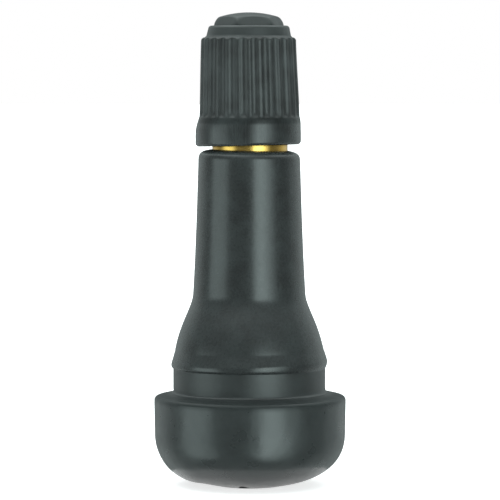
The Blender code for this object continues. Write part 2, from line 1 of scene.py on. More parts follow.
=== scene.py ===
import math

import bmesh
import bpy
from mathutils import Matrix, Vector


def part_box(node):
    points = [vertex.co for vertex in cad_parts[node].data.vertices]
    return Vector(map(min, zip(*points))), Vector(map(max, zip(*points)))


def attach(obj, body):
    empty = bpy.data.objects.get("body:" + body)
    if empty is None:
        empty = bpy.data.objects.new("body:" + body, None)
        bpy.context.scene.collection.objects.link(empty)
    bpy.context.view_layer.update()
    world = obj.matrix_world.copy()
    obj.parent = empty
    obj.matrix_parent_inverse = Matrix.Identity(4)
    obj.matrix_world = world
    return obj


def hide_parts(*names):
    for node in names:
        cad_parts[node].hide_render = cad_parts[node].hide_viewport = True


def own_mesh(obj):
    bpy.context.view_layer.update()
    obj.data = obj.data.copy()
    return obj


# %% [markdown]
# # A snap-in tyre valve, built for its portrait
#
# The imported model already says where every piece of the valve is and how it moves. This file
# gives each piece its finished surface: fine turned shapes, real screw threads, rounded edges and
# materials made of nodes. It runs from top to bottom, one step at a time.

# %% Load the frame
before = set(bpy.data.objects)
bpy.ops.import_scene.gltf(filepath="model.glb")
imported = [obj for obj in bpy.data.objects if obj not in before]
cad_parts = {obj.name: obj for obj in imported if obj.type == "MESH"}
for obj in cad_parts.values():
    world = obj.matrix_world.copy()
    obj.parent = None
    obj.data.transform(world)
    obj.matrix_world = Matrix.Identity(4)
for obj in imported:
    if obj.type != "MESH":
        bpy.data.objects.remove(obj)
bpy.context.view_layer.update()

MM = 0.001

# %% [markdown]
# ## Heights that come from the frame
#
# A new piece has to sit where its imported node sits. So its height isn't typed in again: it is read
# from the node's box, and only the sizes inside that box are given here, in millimetres. The
# rubber's own levels, from its lip to its flange, count down from its top.

# %% Read the heights
def low(node):
    """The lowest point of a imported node, in millimetres."""
    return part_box(node)[0][2] / MM


def high(node):
    """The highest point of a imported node, in millimetres."""
    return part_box(node)[1][2] / MM


RUBBER_TOP = high("rubber_body")
MOUTH = high("brass_stem")
CAP_RIM = low("dust_cap")
CAP_TOP = high("dust_cap")
RING_WIDTH = 1.7
LIP_Z = RUBBER_TOP - 0.95
NECK_Z = LIP_Z - 13.6
SHOULDER_Z = NECK_Z - 6.35
RING_Z = SHOULDER_Z - RING_WIDTH
GROOVE_Z = RING_Z - 2.27
FLANGE_Z = GROOVE_Z - 0.31
SKIRT_Z = CAP_RIM + 3.05
print(f"rubber to {RUBBER_TOP:.2f} mm, mouth {MOUTH:.2f} mm, cap {CAP_RIM:.2f} to {CAP_TOP:.2f} mm")

# %% [markdown]
# ## Outlines
#
# Almost every piece of a valve is turned or moulded round one axis, so it starts as an outline:
# half of its section, as points of radius and height. Three helpers draw the stretches: an arc for
# a rounded edge, a sweep for a long curve that leaves one point and meets another, and a straight
# line cut into short lengths where the surface is reshaped later.

# %% Outline helpers
def arc(centre, radii, start, end, count):
    """Points on an ellipse's arc, in degrees from the outward direction."""
    angles = [math.radians(start + (end - start) * i / count) for i in range(count + 1)]
    return [
        (centre[0] + radii[0] * math.cos(a), centre[1] + radii[1] * math.sin(a)) for a in angles
    ]


def sweep(start, end, leave, meet, count):
    """Points on a smooth curve. Its two pulls are shares of its width and height from each end."""
    size = (end[0] - start[0], end[1] - start[1])
    pull_out = [start[k] + leave[k] * size[k] for k in (0, 1)]
    pull_in = [end[k] - meet[k] * size[k] for k in (0, 1)]
    points = []
    for i in range(count + 1):
        t = i / count
        weights = ((1 - t) ** 3, 3 * t * (1 - t) ** 2, 3 * t * t * (1 - t), t ** 3)
        corners = (start, pull_out, pull_in, end)
        points.append(tuple(sum(w * c[k] for w, c in zip(weights, corners)) for k in (0, 1)))
    return points


def line(start, end, count):
    """Points along a straight stretch, both ends included."""
    return [
        tuple(start[k] + (end[k] - start[k]) * i / count for k in (0, 1)) for i in range(count + 1)
    ]


def softened(points, radius, count=3):
    """The same outline with each sharp corner rounded, by up to a radius."""
    out = [points[0]]
    for before, corner, after in zip(points, points[1:], points[2:]):
        here = Vector(corner)
        back = Vector(before) - here
        ahead = Vector(after) - here
        if back.length < 1e-6 or ahead.length < 1e-6 or back.angle(ahead) > math.radians(150):
            out.append(corner)
            continue
        reach = min(radius, back.length / 2.1, ahead.length / 2.1)
        first = here + back.normalized() * reach
        last = here + ahead.normalized() * reach
        for i in range(count + 1):
            t = i / count
            out.append(tuple((1 - t) ** 2 * first + 2 * t * (1 - t) * here + t * t * last))
    out.append(points[-1])
    return out


# %% [markdown]
# ## Meshes
#
# `lathe` spins an outline round the axis, which is what the lathe or the mould did to the real
# piece. `screw` spins one pitch of a thread's section with a lift, which makes a true helix, and
# cuts it flat at both ends. A spin slows down as it grows, so only a sixth of a circle or one turn
# of a thread is spun, and the rest are merged copies. Where a shape isn't perfectly round, its
# points are moved afterwards.

# %% Mesh helpers
BODY_STEPS = 192
CORE_STEPS = 96
SCREW_STEPS = 72
SECTORS = 6
WELD = 0.0005 * MM


def repeated(shape, count, move):
    """A shape and its copies, each moved on from the one before, with the seams merged."""
    first = shape.verts[:] + shape.edges[:] + shape.faces[:]
    for i in range(1, count):
        copy = bmesh.ops.duplicate(shape, geom=first)["geom"]
        points = [part for part in copy if isinstance(part, bmesh.types.BMVert)]
        bmesh.ops.transform(shape, matrix=move(i), verts=points)
    bmesh.ops.remove_doubles(shape, verts=shape.verts[:], dist=WELD)


def chain(shape, points):
    """Points of radius and height, in millimetres, drawn in a shape with the edges between them."""
    corners = [shape.verts.new((r * MM, 0.0, z * MM)) for r, z in points]
    return corners, [shape.edges.new(pair) for pair in zip(corners, corners[1:])]


def spin(shape, geom, angle, steps, rise=0.0):
    """Sweep points and edges round the axis. The rise of each step is in metres."""
    bmesh.ops.spin(shape, geom=geom, cent=(0, 0, 0), axis=(0, 0, 1), dvec=(0, 0, rise), angle=angle,
                   steps=steps, use_merge=False, use_duplicate=False)


def lathe(outline, steps, closed=True):
    """A turned shape from an outline in millimetres. A closed one's last point joins its first."""
    shape = bmesh.new()
    corners, edges = chain(shape, outline)
    if closed:
        edges.append(shape.edges.new((corners[-1], corners[0])))
    spin(shape, corners + edges, math.tau / SECTORS, steps // SECTORS)
    repeated(shape, SECTORS, lambda i: Matrix.Rotation(math.tau * i / SECTORS, 4, "Z"))
    bmesh.ops.dissolve_degenerate(shape, edges=shape.edges[:], dist=WELD / 2)
    return shape


def cut_level(shape, height, keep_below):
    """Cut a shape level at a height, and drop one side."""
    whole = shape.verts[:] + shape.edges[:] + shape.faces[:]
    bmesh.ops.bisect_plane(shape, geom=whole, dist=WELD / 10, plane_co=(0, 0, height * MM),
                           plane_no=(0, 0, 1), clear_outer=keep_below, clear_inner=not keep_below)


def screw(section, pitch, bottom, top, origin):
    """A thread's wall: one pitch of its section, spun with a lift from an origin's height."""
    shape = bmesh.new()
    start = origin + pitch * (math.floor((bottom - origin) / pitch) - 1)
    turns = math.ceil((top - start) / pitch) + 1
    corners, edges = chain(shape, [(r, start + h) for r, h in section])
    spin(shape, corners + edges, math.tau, SCREW_STEPS, pitch * MM / SCREW_STEPS)
    repeated(shape, turns, lambda i: Matrix.Translation((0, 0, i * pitch * MM)))
    cut_level(shape, bottom, keep_below=False)
    cut_level(shape, top, keep_below=True)
    return shape


def close_level(shape, height):
    """Fill the level ring between the open edges at a height."""
    ring = [
        edge
        for edge in shape.edges
        if edge.is_boundary and all(abs(v.co.z - height * MM) < 2 * WELD for v in edge.verts)
    ]
    bmesh.ops.triangle_fill(shape, edges=ring, use_beauty=True, use_dissolve=False)


def joined(shapes, levels):
    """Several shapes in one: points that meet are merged, and the rings at some levels filled."""
    whole = bmesh.new()
    for shape in shapes:
        mesh = bpy.data.meshes.new("joined")
        shape.to_mesh(mesh)
        shape.free()
        whole.from_mesh(mesh)
        bpy.data.meshes.remove(mesh)
    bmesh.ops.remove_doubles(whole, verts=whole.verts[:], dist=WELD)
    for level in levels:
        close_level(whole, level)
    return whole


def moved(shape, change):
    """Move every point: change takes x, y and z in millimetres and gives the new ones."""
    for vert in shape.verts:
        vert.co = Vector(change(*(vert.co / MM))) * MM


def at_radius(x, y, z, radius):
    """The same point at another distance from the axis."""
    reach = math.hypot(x, y)
    return (x * radius / reach, y * radius / reach, z) if reach > 0 else (x, y, z)


def ramp(value, start, end):
    """0 before start, 1 after end, and a soft climb between them."""
    t = min(max((value - start) / (end - start), 0.0), 1.0)
    return t * t * (3 - 2 * t)


def soft_min(a, b, width):
    """The smaller of two values, with the change from one to the other rounded over a width."""
    h = min(max(0.5 + 0.5 * (b - a) / width, 0.0), 1.0)
    return b + (a - b) * h - width * h * (1 - h)


# %% [markdown]
# Three more helpers handle whole pieces. `as_object` puts a shape in the scene. `carved` cuts one
# shape with another through a Boolean modifier. `add_piece` turns a finished shape into an object
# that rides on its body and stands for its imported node.

# %% Piece helpers
SMOOTH_ANGLE = math.radians(32)


def as_object(name, shape):
    """An object from a shape, in the scene."""
    bmesh.ops.recalc_face_normals(shape, faces=shape.faces[:])
    mesh = bpy.data.meshes.new(name)
    shape.to_mesh(mesh)
    shape.free()
    thing = bpy.data.objects.new(name, mesh)
    bpy.context.scene.collection.objects.link(thing)
    return thing


def carved(shape, tool):
    """A shape with a tool's shape cut out of it."""
    block = as_object("block", shape)
    cutter = as_object("cutter", tool)
    cut = block.modifiers.new("cut", "BOOLEAN")
    cut.operation = "DIFFERENCE"
    cut.solver = "EXACT"
    cut.object = cutter
    result = block.evaluated_get(bpy.context.evaluated_depsgraph_get())
    out = bmesh.new()
    out.from_mesh(result.to_mesh())
    for thing in (block, cutter):
        mesh = thing.data
        bpy.data.objects.remove(thing)
        bpy.data.meshes.remove(mesh)
    return out


def add_piece(name, shape, body, stands_for, look):
    """A finished piece: it rides on a body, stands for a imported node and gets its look."""
    loose = sum(1 for edge in shape.edges if not edge.is_manifold)
    piece = as_object(name, shape)
    piece.data.materials.append(look)
    piece.data.shade_smooth()
    piece.data.set_sharp_from_angle(angle=SMOOTH_ANGLE)
    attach(piece, body)
    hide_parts(stands_for)
    print(f"{name}: {len(piece.data.polygons)} faces, {loose} open edges")
    return piece


# %% [markdown]
# ## Colours and nodes
#
# Colours are easiest to pick as sRGB hex values, but nodes work in linear light, so one function
# turns the one into the other. `feed` fills a node's inputs, each with a value or with a link from
# another node's first output in use. `add` adds a node, with its settings and its inputs. SOFT
# eases a range at both ends, and NOISE_SPAN is the range that most of a noise lies in.

# %% Colour and node helpers
SOFT = {"interpolation_type": "SMOOTHSTEP"}
NOISE_SPAN = {"From Min": 0.3, "From Max": 0.7}


def srgb(code):
    """A linear colour from an sRGB hex value."""
    channels = [int(code[i : i + 2], 16) / 255 for i in (1, 3, 5)]
    linear = [c / 12.92 if c <= 0.04045 else ((c + 0.055) / 1.055) ** 2.4 for c in channels]
    return (*linear, 1.0)


def feed(tree, node, inputs):
    """Fill a node's inputs, each with a value, an output or a node's first output in use."""
    for key, source in inputs.items():
        if isinstance(source, bpy.types.Node):
            source = next(output for output in source.outputs if output.enabled)
        if isinstance(source, bpy.types.NodeSocket):
            tree.links.new(source, node.inputs[key])
        else:
            node.inputs[key].default_value = source


def add(tree, kind, inputs=None, **settings):
    """Add one node, with its settings and with what goes into its inputs."""
    made = tree.nodes.new("ShaderNode" + kind)
    for key, value in settings.items():
        setattr(made, key, value)
    feed(tree, made, inputs or {})
    return made


def new_look(name):
    """An empty material, with its surface shader and the object's own coordinates."""
    look = bpy.data.materials.new(name)
    look.use_nodes = True
    tree = look.node_tree
    tree.nodes.clear()
    shader = add(tree, "BsdfPrincipled")
    add(tree, "OutputMaterial", {"Surface": shader})
    return look, tree, shader, add(tree, "TexCoord").outputs["Object"]


def per_mm(size):
    """A noise scale whose features are about this many millimetres across."""
    return 1 / (size * MM)


# %% [markdown]
# ## EPDM rubber, compression moulded
#
# The body is black rubber, pressed hot in a steel mould and cured there. The mould leaves a satin
# skin, not a polish. Up close it isn't even: the skin has a fine grain, waxes from the rubber come
# up in faint cloudy patches, and the thick flange is paler all over. The flange also cools unevenly,
# so its wall wavers more than the neck's. The mould was blasted in the groove and on the flange's
# top, so the rubber is duller there. The lip's crest, under the cap, is painted paler: painted light
# that lifts the shade there.
# Two bumps give the grain and the waviness that frays the edge of every reflection.

# %% Make the rubber
def make_rubber():
    """EPDM rubber, moulded: near black, with a soft satin reflection that wavers on the flange."""
    look, tree, shader, place = new_look("epdm_rubber_moulded")
    cloud = add(tree, "TexNoise", {
        "Vector": place, "Scale": per_mm(2.2), "Detail": 3.0, "Roughness": 0.6})
    grain = add(tree, "TexNoise", {
        "Vector": place, "Scale": per_mm(0.3), "Detail": 3.0, "Roughness": 0.6})
    wave = add(tree, "TexNoise", {"Vector": place, "Scale": per_mm(2.6), "Detail": 1.5})
    height = add(tree, "SeparateXYZ", {"Vector": place}).outputs["Z"]
    thick = add(tree, "MapRange", {
        "Value": height, "From Min": (RING_Z + 0.25) * MM, "From Max": (FLANGE_Z - 0.57) * MM,
        "To Min": 0.12}, **SOFT)
    # The flange is paler all over: there the paler colour's share never falls far below three
    # quarters.
    flange_paling = add(tree, "Math", {0: thick, 1: 0.75}, operation="MULTIPLY")
    paling = add(tree, "MapRange", {
        "Value": cloud, "From Min": 0.25, "From Max": 0.75, "To Min": flange_paling}, **SOFT)
    colour = add(tree, "Mix", {
        "Factor": paling, "A": srgb("#242626"), "B": srgb("#303434")}, data_type="RGBA")
    # Painted light: the lip's crest under the cap is painted paler, to lift the shade there.
    painted_lip_light = add(tree, "MapRange", {
        "Value": height, "From Min": (RUBBER_TOP - 0.45) * MM, "From Max": (RUBBER_TOP - 0.1) * MM},
        **SOFT)
    colour = add(tree, "Mix", {
        "Factor": painted_lip_light, "A": colour, "B": srgb("#505555")}, data_type="RGBA")
    satin = add(tree, "MapRange", {
        "Value": grain, **NOISE_SPAN, "To Min": 0.24, "To Max": 0.31})
    matt = add(tree, "MapRange", {
        "Value": cloud, **NOISE_SPAN, "To Min": 0.25, "To Max": 0.38})
    rough = add(tree, "Mix", {"Factor": thick, "A": satin, "B": matt}, data_type="FLOAT")
    below_ring = add(tree, "MapRange", {
        "Value": height, "From Min": (RING_Z + 0.4) * MM, "From Max": (RING_Z + 0.15) * MM,
        "To Max": 0.14}, **SOFT)
    above_flange = add(tree, "MapRange", {
        "Value": height, "From Min": (FLANGE_Z - 0.17) * MM, "From Max": (FLANGE_Z + 0.13) * MM},
        **SOFT)
    rough = add(tree, "Math", {0: below_ring, 1: above_flange, 2: rough}, operation="MULTIPLY_ADD")
    edge = add(tree, "MapRange", {
        "Value": height, "From Min": (FLANGE_Z - 0.9) * MM, "From Max": (FLANGE_Z - 0.05) * MM},
        **SOFT)
    sheen = add(tree, "MapRange", {
        "Value": height, "From Min": (FLANGE_Z + 0.4) * MM, "From Max": (FLANGE_Z + 0.15) * MM,
        "To Min": 0.5, "To Max": 0.12}, **SOFT)
    sheen = add(tree, "Mix", {"Factor": edge, "A": 0.5, "B": sheen}, data_type="FLOAT")
    swell = add(tree, "Bump", {"Height": wave, "Strength": thick, "Distance": 0.08 * MM})
    skin = add(tree, "Bump", {
        "Height": grain, "Normal": swell, "Strength": 0.3, "Distance": 0.012 * MM})
    feed(tree, shader, {
        "Base Color": colour, "Roughness": rough, "Specular IOR Level": sheen, "Normal": skin,
        "IOR": 1.52})
    return look


rubber = make_rubber()
print("made", rubber.name)

# %% [markdown]
# ## Polypropylene, injection moulded
#
# The cap is a harder black plastic. It comes from a spark-eroded mould, which leaves a fine even
# matt, and the flutes were polished up and down, so faint streaks run along them. Its reflections
# are a little tighter and more even than the rubber's. Handling leaves faint paler patches, and the
# top of the boss is painted paler still, as painted light. Grime dulls the corner where the flutes
# end.

# %% Make the cap's plastic
def make_cap_plastic():
    """Polypropylene, moulded: black, satin, with a fine even matt and faint streaks up and down."""
    look, tree, shader, place = new_look("polypropylene_moulded")
    grain = add(tree, "TexNoise", {"Vector": place, "Scale": per_mm(0.22), "Detail": 2.0})
    stretch = add(tree, "Mapping", {"Vector": place, "Scale": (1.0, 1.0, 0.08)})
    streak = add(tree, "TexNoise", {"Vector": stretch, "Scale": per_mm(0.35), "Detail": 3.0})
    cloud = add(tree, "TexNoise", {"Vector": place, "Scale": per_mm(2.0), "Detail": 2.0})
    height = add(tree, "SeparateXYZ", {"Vector": place}).outputs["Z"]
    # Painted light: the top of the boss is painted paler, over the faint paler patches of wear.
    painted_dome_light = add(tree, "MapRange", {
        "Value": height, "From Min": (CAP_TOP - 2.6) * MM, "From Max": (CAP_TOP - 2.2) * MM,
        "To Max": 0.6}, **SOFT)
    wear_and_painted_dome_light = add(tree, "MapRange", {
        "Value": cloud, "From Min": 0.35, "From Max": 0.7, "To Min": painted_dome_light})
    colour = add(tree, "Mix", {
        "Factor": wear_and_painted_dome_light, "A": srgb("#252727"), "B": srgb("#363a3a")}, data_type="RGBA")
    gripped = add(tree, "MapRange", {
        "Value": height, "From Min": (SKIRT_Z - 0.3) * MM, "From Max": (SKIRT_Z + 0.3) * MM,
        "To Max": 0.16}, **SOFT)
    satin = add(tree, "MapRange", {
        "Value": streak, **NOISE_SPAN, "To Min": 0.24, "To Max": 0.32})
    rough = add(tree, "Math", {0: satin, 1: gripped}, operation="ADD")
    ends = add(tree, "Math", {0: height, 1: (SKIRT_Z - 0.35) * MM}, operation="SUBTRACT")
    ends = add(tree, "Math", {0: ends}, operation="ABSOLUTE")
    sheen = add(tree, "MapRange", {
        "Value": ends, "From Min": 0.15 * MM, "From Max": 0.5 * MM, "To Min": 0.15, "To Max": 0.5},
        **SOFT)
    lines = add(tree, "Bump", {"Height": streak, "Strength": 0.3, "Distance": 0.01 * MM})
    skin = add(tree, "Bump", {
        "Height": grain, "Normal": lines, "Strength": 0.2, "Distance": 0.008 * MM})
    feed(tree, shader, {
        "Base Color": colour, "Roughness": rough, "Specular IOR Level": sheen, "Normal": skin,
        "IOR": 1.49})
    return look


cap_plastic = make_cap_plastic()
print("made", cap_plastic.name)

# %% [markdown]
# ## Free-cutting brass, turned
#
# The stem and the core's fittings come off an automatic lathe. The tool leaves rings finer than a
# tenth of a millimetre, so the pattern runs round the axis: it depends on height, with a little
# noise. Brass that has been handled also darkens in soft patches.

# %% Make the brass
def make_brass():
    """Brass, turned: warm and bright, with fine rings from the tool and a light, patchy tarnish."""
    look, tree, shader, place = new_look("brass_turned")
    squeeze = add(tree, "Mapping", {"Vector": place, "Scale": (0.02, 0.02, 1.0)})
    rings = add(tree, "TexNoise", {"Vector": squeeze, "Scale": per_mm(0.07), "Detail": 2.0})
    tarnish = add(tree, "TexNoise", {"Vector": place, "Scale": per_mm(1.3), "Detail": 3.0})
    aged = add(tree, "MapRange", {"Value": tarnish, "From Min": 0.4, "From Max": 0.75})
    colour = add(tree, "Mix", {
        "Factor": aged, "A": srgb("#e0b763"), "B": srgb("#c29a4c")}, data_type="RGBA")
    rough = add(tree, "MapRange", {
        "Value": rings, **NOISE_SPAN, "To Min": 0.2, "To Max": 0.34})
    cut = add(tree, "Bump", {"Height": rings, "Strength": 0.35, "Distance": 0.006 * MM})
    feed(tree, shader, {"Base Color": colour, "Roughness": rough, "Normal": cut, "Metallic": 1.0})
    return look


brass = make_brass()
print("made", brass.name)

# %% [markdown]
# ## Small materials inside
#
# The pin and the spring are steel, drawn to wire and plated. The drawing die leaves long scratches
# along the wire. The barrel's gasket is PTFE, a soft waxy plastic, and the seat and cap washers are
# nitrile rubber, cut or moulded with a dull face.

# %% Make the small materials
def make_drawn_steel(name, bright, dark, low_rough, high_rough):
    """Steel wire, drawn and plated: grey, with scratches that run along it."""
    look, tree, shader, place = new_look(name)
    stretch = add(tree, "Mapping", {"Vector": place, "Scale": (1.0, 1.0, 0.1)})
    scratch = add(tree, "TexNoise", {"Vector": stretch, "Scale": per_mm(0.06), "Detail": 2.0})
    plating = add(tree, "TexNoise", {"Vector": place, "Scale": per_mm(0.8), "Detail": 2.0})
    colour = add(tree, "Mix", {
        "Factor": plating, "A": srgb(bright), "B": srgb(dark)}, data_type="RGBA")
    rough = add(tree, "MapRange", {"Value": scratch, "To Min": low_rough, "To Max": high_rough})
    feed(tree, shader, {"Base Color": colour, "Roughness": rough, "Metallic": 1.0})
    return look


def make_soft_seal(name, first, second, low_rough, high_rough, index):
    """A moulded seal: one colour that clouds slightly, with a dull, finely pitted skin."""
    look, tree, shader, place = new_look(name)
    cloud = add(tree, "TexNoise", {"Vector": place, "Scale": per_mm(0.9), "Detail": 3.0})
    pits = add(tree, "TexNoise", {"Vector": place, "Scale": per_mm(0.12), "Detail": 2.0})
    colour = add(tree, "Mix", {
        "Factor": cloud, "A": srgb(first), "B": srgb(second)}, data_type="RGBA")
    rough = add(tree, "MapRange", {"Value": pits, "To Min": low_rough, "To Max": high_rough})
    skin = add(tree, "Bump", {"Height": pits, "Strength": 0.3, "Distance": 0.01 * MM})
    feed(tree, shader, {"Base Color": colour, "Roughness": rough, "Normal": skin, "IOR": index})
    return look


pin_steel = make_drawn_steel("steel_pin_plated", "#c6c5c1", "#a9a8a3", 0.2, 0.36)
spring_steel = make_drawn_steel("steel_spring_wire", "#b7b6b3", "#97969a", 0.25, 0.42)
ptfe = make_soft_seal("ptfe_moulded", "#c95a4c", "#b5483b", 0.4, 0.55, 1.38)
nitrile = make_soft_seal("nitrile_rubber_moulded", "#27282a", "#333436", 0.45, 0.65, 1.52)
print("made", ", ".join(m.name for m in (pin_steel, spring_steel, ptfe, nitrile)))

# %% [markdown]
# ## The stem's outline, shared by the rubber round it
#
# The rubber is moulded round the brass, so both have the same barbs and the same wide foot. One
# function draws that side of the stem, and a gap moves it outwards for the rubber's bore.

# %% Draw the stem's side
THREAD_R = 3.87
BOND = 0.05
THREAD_BOTTOM = RUBBER_TOP - 0.45
STEM_FOOT = low("brass_stem")
SHANK_R = 3.3
TAIL_R = 2.6
TAIL_TOP = STEM_FOOT + 16.0
FOOT_PLATE_R = 4.4
FOOT_PLATE_TOP = STEM_FOOT + 1.1
BARB_TOPS = [THREAD_BOTTOM - 0.9 - 1.8 * i for i in range(3)]
BARB_PROUD = 0.35


def stem_side(gap):
    """The stem's outer side from the thread's end down, or the rubber's bore if gap is over 0."""
    shank = SHANK_R + gap
    points = [(THREAD_R + gap, THREAD_BOTTOM - gap), (shank, THREAD_BOTTOM - gap)]
    for top in BARB_TOPS:
        points += [(shank, top), (shank + BARB_PROUD, top - 0.27), (shank, top - 1.35)]
    points += [
        (shank, TAIL_TOP + (SHANK_R - TAIL_R)), (TAIL_R + gap, TAIL_TOP),
        (TAIL_R + gap, FOOT_PLATE_TOP + gap), (FOOT_PLATE_R + gap, FOOT_PLATE_TOP + gap),
        (FOOT_PLATE_R + gap, STEM_FOOT - gap),
    ]
    return points


print(f"shank {2 * SHANK_R:.1f} mm across, {len(BARB_TOPS)} barbs")

# %% [markdown]
# ## The rubber body
#
# One moulding: a domed lip round the thread, a neck that tapers by half a millimetre, a swept
# shoulder, the retaining ring that snaps through the rim hole, the groove that grips the rim, and a
# flange whose underside bulges down to a small foot. A lathe outline gives all of it. Then the
# points are nudged, because the real one came out of its mould warm and isn't perfectly even: its
# lip stands higher on one side, its ring sits a little askew, its neck stands slightly off centre
# and its underside is fuller on the left.

# %% Draw the rubber's outline
NECK_TOP_R = 5.22
NECK_BOTTOM_R = 5.765
GROOVE_R = 7.82
GROOVE_FILLET = 0.3
RING_PROUD = 0.205
RING_BEND = 0.8
FLANGE_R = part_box("rubber_body")[1][0] / MM
FLANGE_WALL_R = FLANGE_R - 0.05
FLANGE_EDGE = 0.42
BULGE_TOP = 5.6
BULGE_FULLNESS = 2.5
FOOT_R = 3.4
UNDER_HOLE_R = 2.3
UNDER_HOLE_CHAMFER = 0.25


def bulge(count):
    """The underside: a curve fuller than an ellipse, from the flange's wall to the foot."""
    power = 2 / BULGE_FULLNESS
    foot = math.acos((FOOT_R / FLANGE_WALL_R) ** (1 / power))
    depth = BULGE_TOP / math.sin(foot) ** power
    angles = [foot * (i / count) ** 1.2 for i in range(count + 1)]
    return [
        (FLANGE_WALL_R * math.cos(a) ** power, BULGE_TOP - depth * math.sin(a) ** power)
        for a in angles
    ]


def rubber_outline():
    """The rubber's outer side from the lip down, round the foot and back up its bore."""
    lip_r = THREAD_R + BOND
    crease = (GROOVE_R - 0.2, SHOULDER_Z + 0.6)
    ring_centre = (GROOVE_R + RING_PROUD - RING_BEND, RING_Z + 0.47 * RING_WIDTH)
    ring = arc(ring_centre, (RING_BEND, RING_BEND), 20, -36, 20)
    corner = (GROOVE_R + GROOVE_FILLET, GROOVE_Z + GROOVE_FILLET)
    edge_r = FLANGE_R - FLANGE_EDGE
    points = [(lip_r, RUBBER_TOP)]
    points += sweep((lip_r + BOND, RUBBER_TOP), (NECK_TOP_R, LIP_Z), (0.55, 0.12), (0.0, 0.72), 18)
    points += sweep((NECK_TOP_R, LIP_Z), (NECK_BOTTOM_R, NECK_Z), (0.25, 0.33), (0.5, 0.33), 30)[1:]
    points += sweep((NECK_BOTTOM_R, NECK_Z), crease, (0.02, 0.25), (0.34, 0.52), 36)[1:]
    points += [(crease[0] + 0.017, crease[1] - 0.1)]
    points += line((GROOVE_R - 0.162, SHOULDER_Z + 0.41), ring[0], 5) + ring[1:]
    points += [(GROOVE_R + 0.012, RING_Z + 0.27), (GROOVE_R + 0.002, RING_Z + 0.22)]
    points += line((GROOVE_R, RING_Z + 0.16), (GROOVE_R, GROOVE_Z + GROOVE_FILLET), 10)
    points += arc(corner, (GROOVE_FILLET, GROOVE_FILLET), 180, 270, 8)[1:]
    points += line((GROOVE_R + GROOVE_FILLET + 0.1, GROOVE_Z - 0.01), (edge_r, FLANGE_Z), 6)
    points += arc((edge_r, FLANGE_Z - FLANGE_EDGE), (FLANGE_EDGE, FLANGE_EDGE), 90, 0, 12)[1:]
    points += line((FLANGE_R, FLANGE_Z - FLANGE_EDGE - 0.2), (FLANGE_WALL_R, BULGE_TOP + 0.1), 10)
    points += bulge(48)
    points += [
        (UNDER_HOLE_R + UNDER_HOLE_CHAMFER, 0.0), (UNDER_HOLE_R, UNDER_HOLE_CHAMFER),
        (UNDER_HOLE_R, STEM_FOOT - BOND),
    ]
    return points + stem_side(BOND)[::-1]


print(f"{len(rubber_outline())} points from the lip to the foot and back")

# %% [markdown]
# The vent is a small round channel moulded across the foot, so that the valve doesn't trap air or
# water under it. It is cut with a lying cylinder.

# %% Make the rubber body
VENT_R = 0.72
VENT_DEPTH = 0.45
VENT_TURN = math.radians(81)
LEAN = -0.075
LIP_RISE = 0.08
LIP_TILT = -0.018
RING_TILT = 0.022
SAG = 0.24
SAG_SIDE = (4.0, 6.5)
SAG_FROM = (0.1, 0.7)
SAG_TO = (1.4, 3.6)


def uneven_rubber(x, y, z):
    """The mould's and the cure's small errors: leaning neck, tilted lip, askew ring, full side."""
    lip = (LIP_RISE + LIP_TILT * x) * ramp(z, LIP_Z - 0.6, LIP_Z + 0.7)
    askew = RING_TILT * x * ramp(z, RING_Z + 0.15, RING_Z + 0.75)
    askew *= 1 - ramp(z, SHOULDER_Z - 0.45, SHOULDER_Z + 1.55)
    sag = SAG * ramp(-x, *SAG_SIDE) * ramp(z, *SAG_FROM) * (1 - ramp(z, *SAG_TO))
    lean = LEAN * ramp(z, GROOVE_Z - 0.08, GROOVE_Z + 0.52)
    return x + lean, y, z + lip + askew - sag


def make_vent():
    """A lying cylinder across the foot."""
    tool = bmesh.new()
    place = (
        Matrix.Translation((0.0, 0.0, (VENT_DEPTH - VENT_R) * MM))
        @ Matrix.Rotation(VENT_TURN, 4, "Z")
        @ Matrix.Rotation(math.radians(90), 4, "Y")
    )
    bmesh.ops.create_cone(tool, cap_ends=True, segments=48, radius1=VENT_R * MM,
                          radius2=VENT_R * MM, depth=2 * FLANGE_R * MM, matrix=place)
    return tool


shape = lathe(rubber_outline(), BODY_STEPS)
moved(shape, uneven_rubber)
shape = carved(shape, make_vent())
add_piece("valve_rubber", shape, "valve", "rubber_body", rubber)

# %% [markdown]
# ## Screw threads
#
# The cap screws on a 7.7 mm thread of 32 turns to the inch, and the core on a 5.2 mm thread of 36.
# Both are sixty-degree threads with a flat crest and root. An inside thread is the same section
# moved outwards by the play, and it starts from the same height, so the two mesh.

# %% Thread sections
CAP_PITCH = 0.794
CORE_PITCH = 0.706
FLANK = math.tan(math.radians(30))


def thread_section(crest_r, depth, pitch, play=0.0):
    """One pitch of a thread, from root to crest to root, as points of radius and height."""
    root_r = crest_r - depth
    half_crest = 0.055 * pitch
    half_foot = half_crest + depth * FLANK
    points = [
        (root_r, 0.0), (root_r, pitch / 2 - half_foot), (crest_r, pitch / 2 - half_crest),
        (crest_r, pitch / 2 + half_crest), (root_r, pitch / 2 + half_foot), (root_r, pitch),
    ]
    return [(r + play, h) for r, h in softened(points, 0.05, 2)]


print(f"{len(thread_section(THREAD_R, 0.45, CAP_PITCH))} points in each pitch")

# %% [markdown]
# ## The brass stem
#
# A plain collar shows as the bright strip under the cap. Above it comes a relief groove, where the
# threading tool ran out, and then the thread itself up to a chamfered mouth. Inside are the core's
# own thread, the taper that its gasket seals on, and the long bore down to the foot.

# %% Make the brass stem
CAP_THREAD_DEPTH = 0.45
RELIEF_R = THREAD_R - CAP_THREAD_DEPTH - 0.1
RELIEF_TOP = CAP_RIM + 0.75
COLLAR_TOP = CAP_RIM + 0.42
MOUTH_CHAMFER = 0.42
PLUG_R = 2.6
CORE_THREAD_DEPTH = 0.34
CORE_THREAD_PLAY = 0.07
CORE_BORE_R = 1.95
CORE_BORE_Z = 22.89
AIR_BORE_R = 1.6
TAPER_BOTTOM = low("barrel_gasket") - 0.04
TAPER_TOP = high("barrel_gasket") + 0.09
PLUG_SKIRT_Z = 38.6
BORE_CHAMFER = 0.21


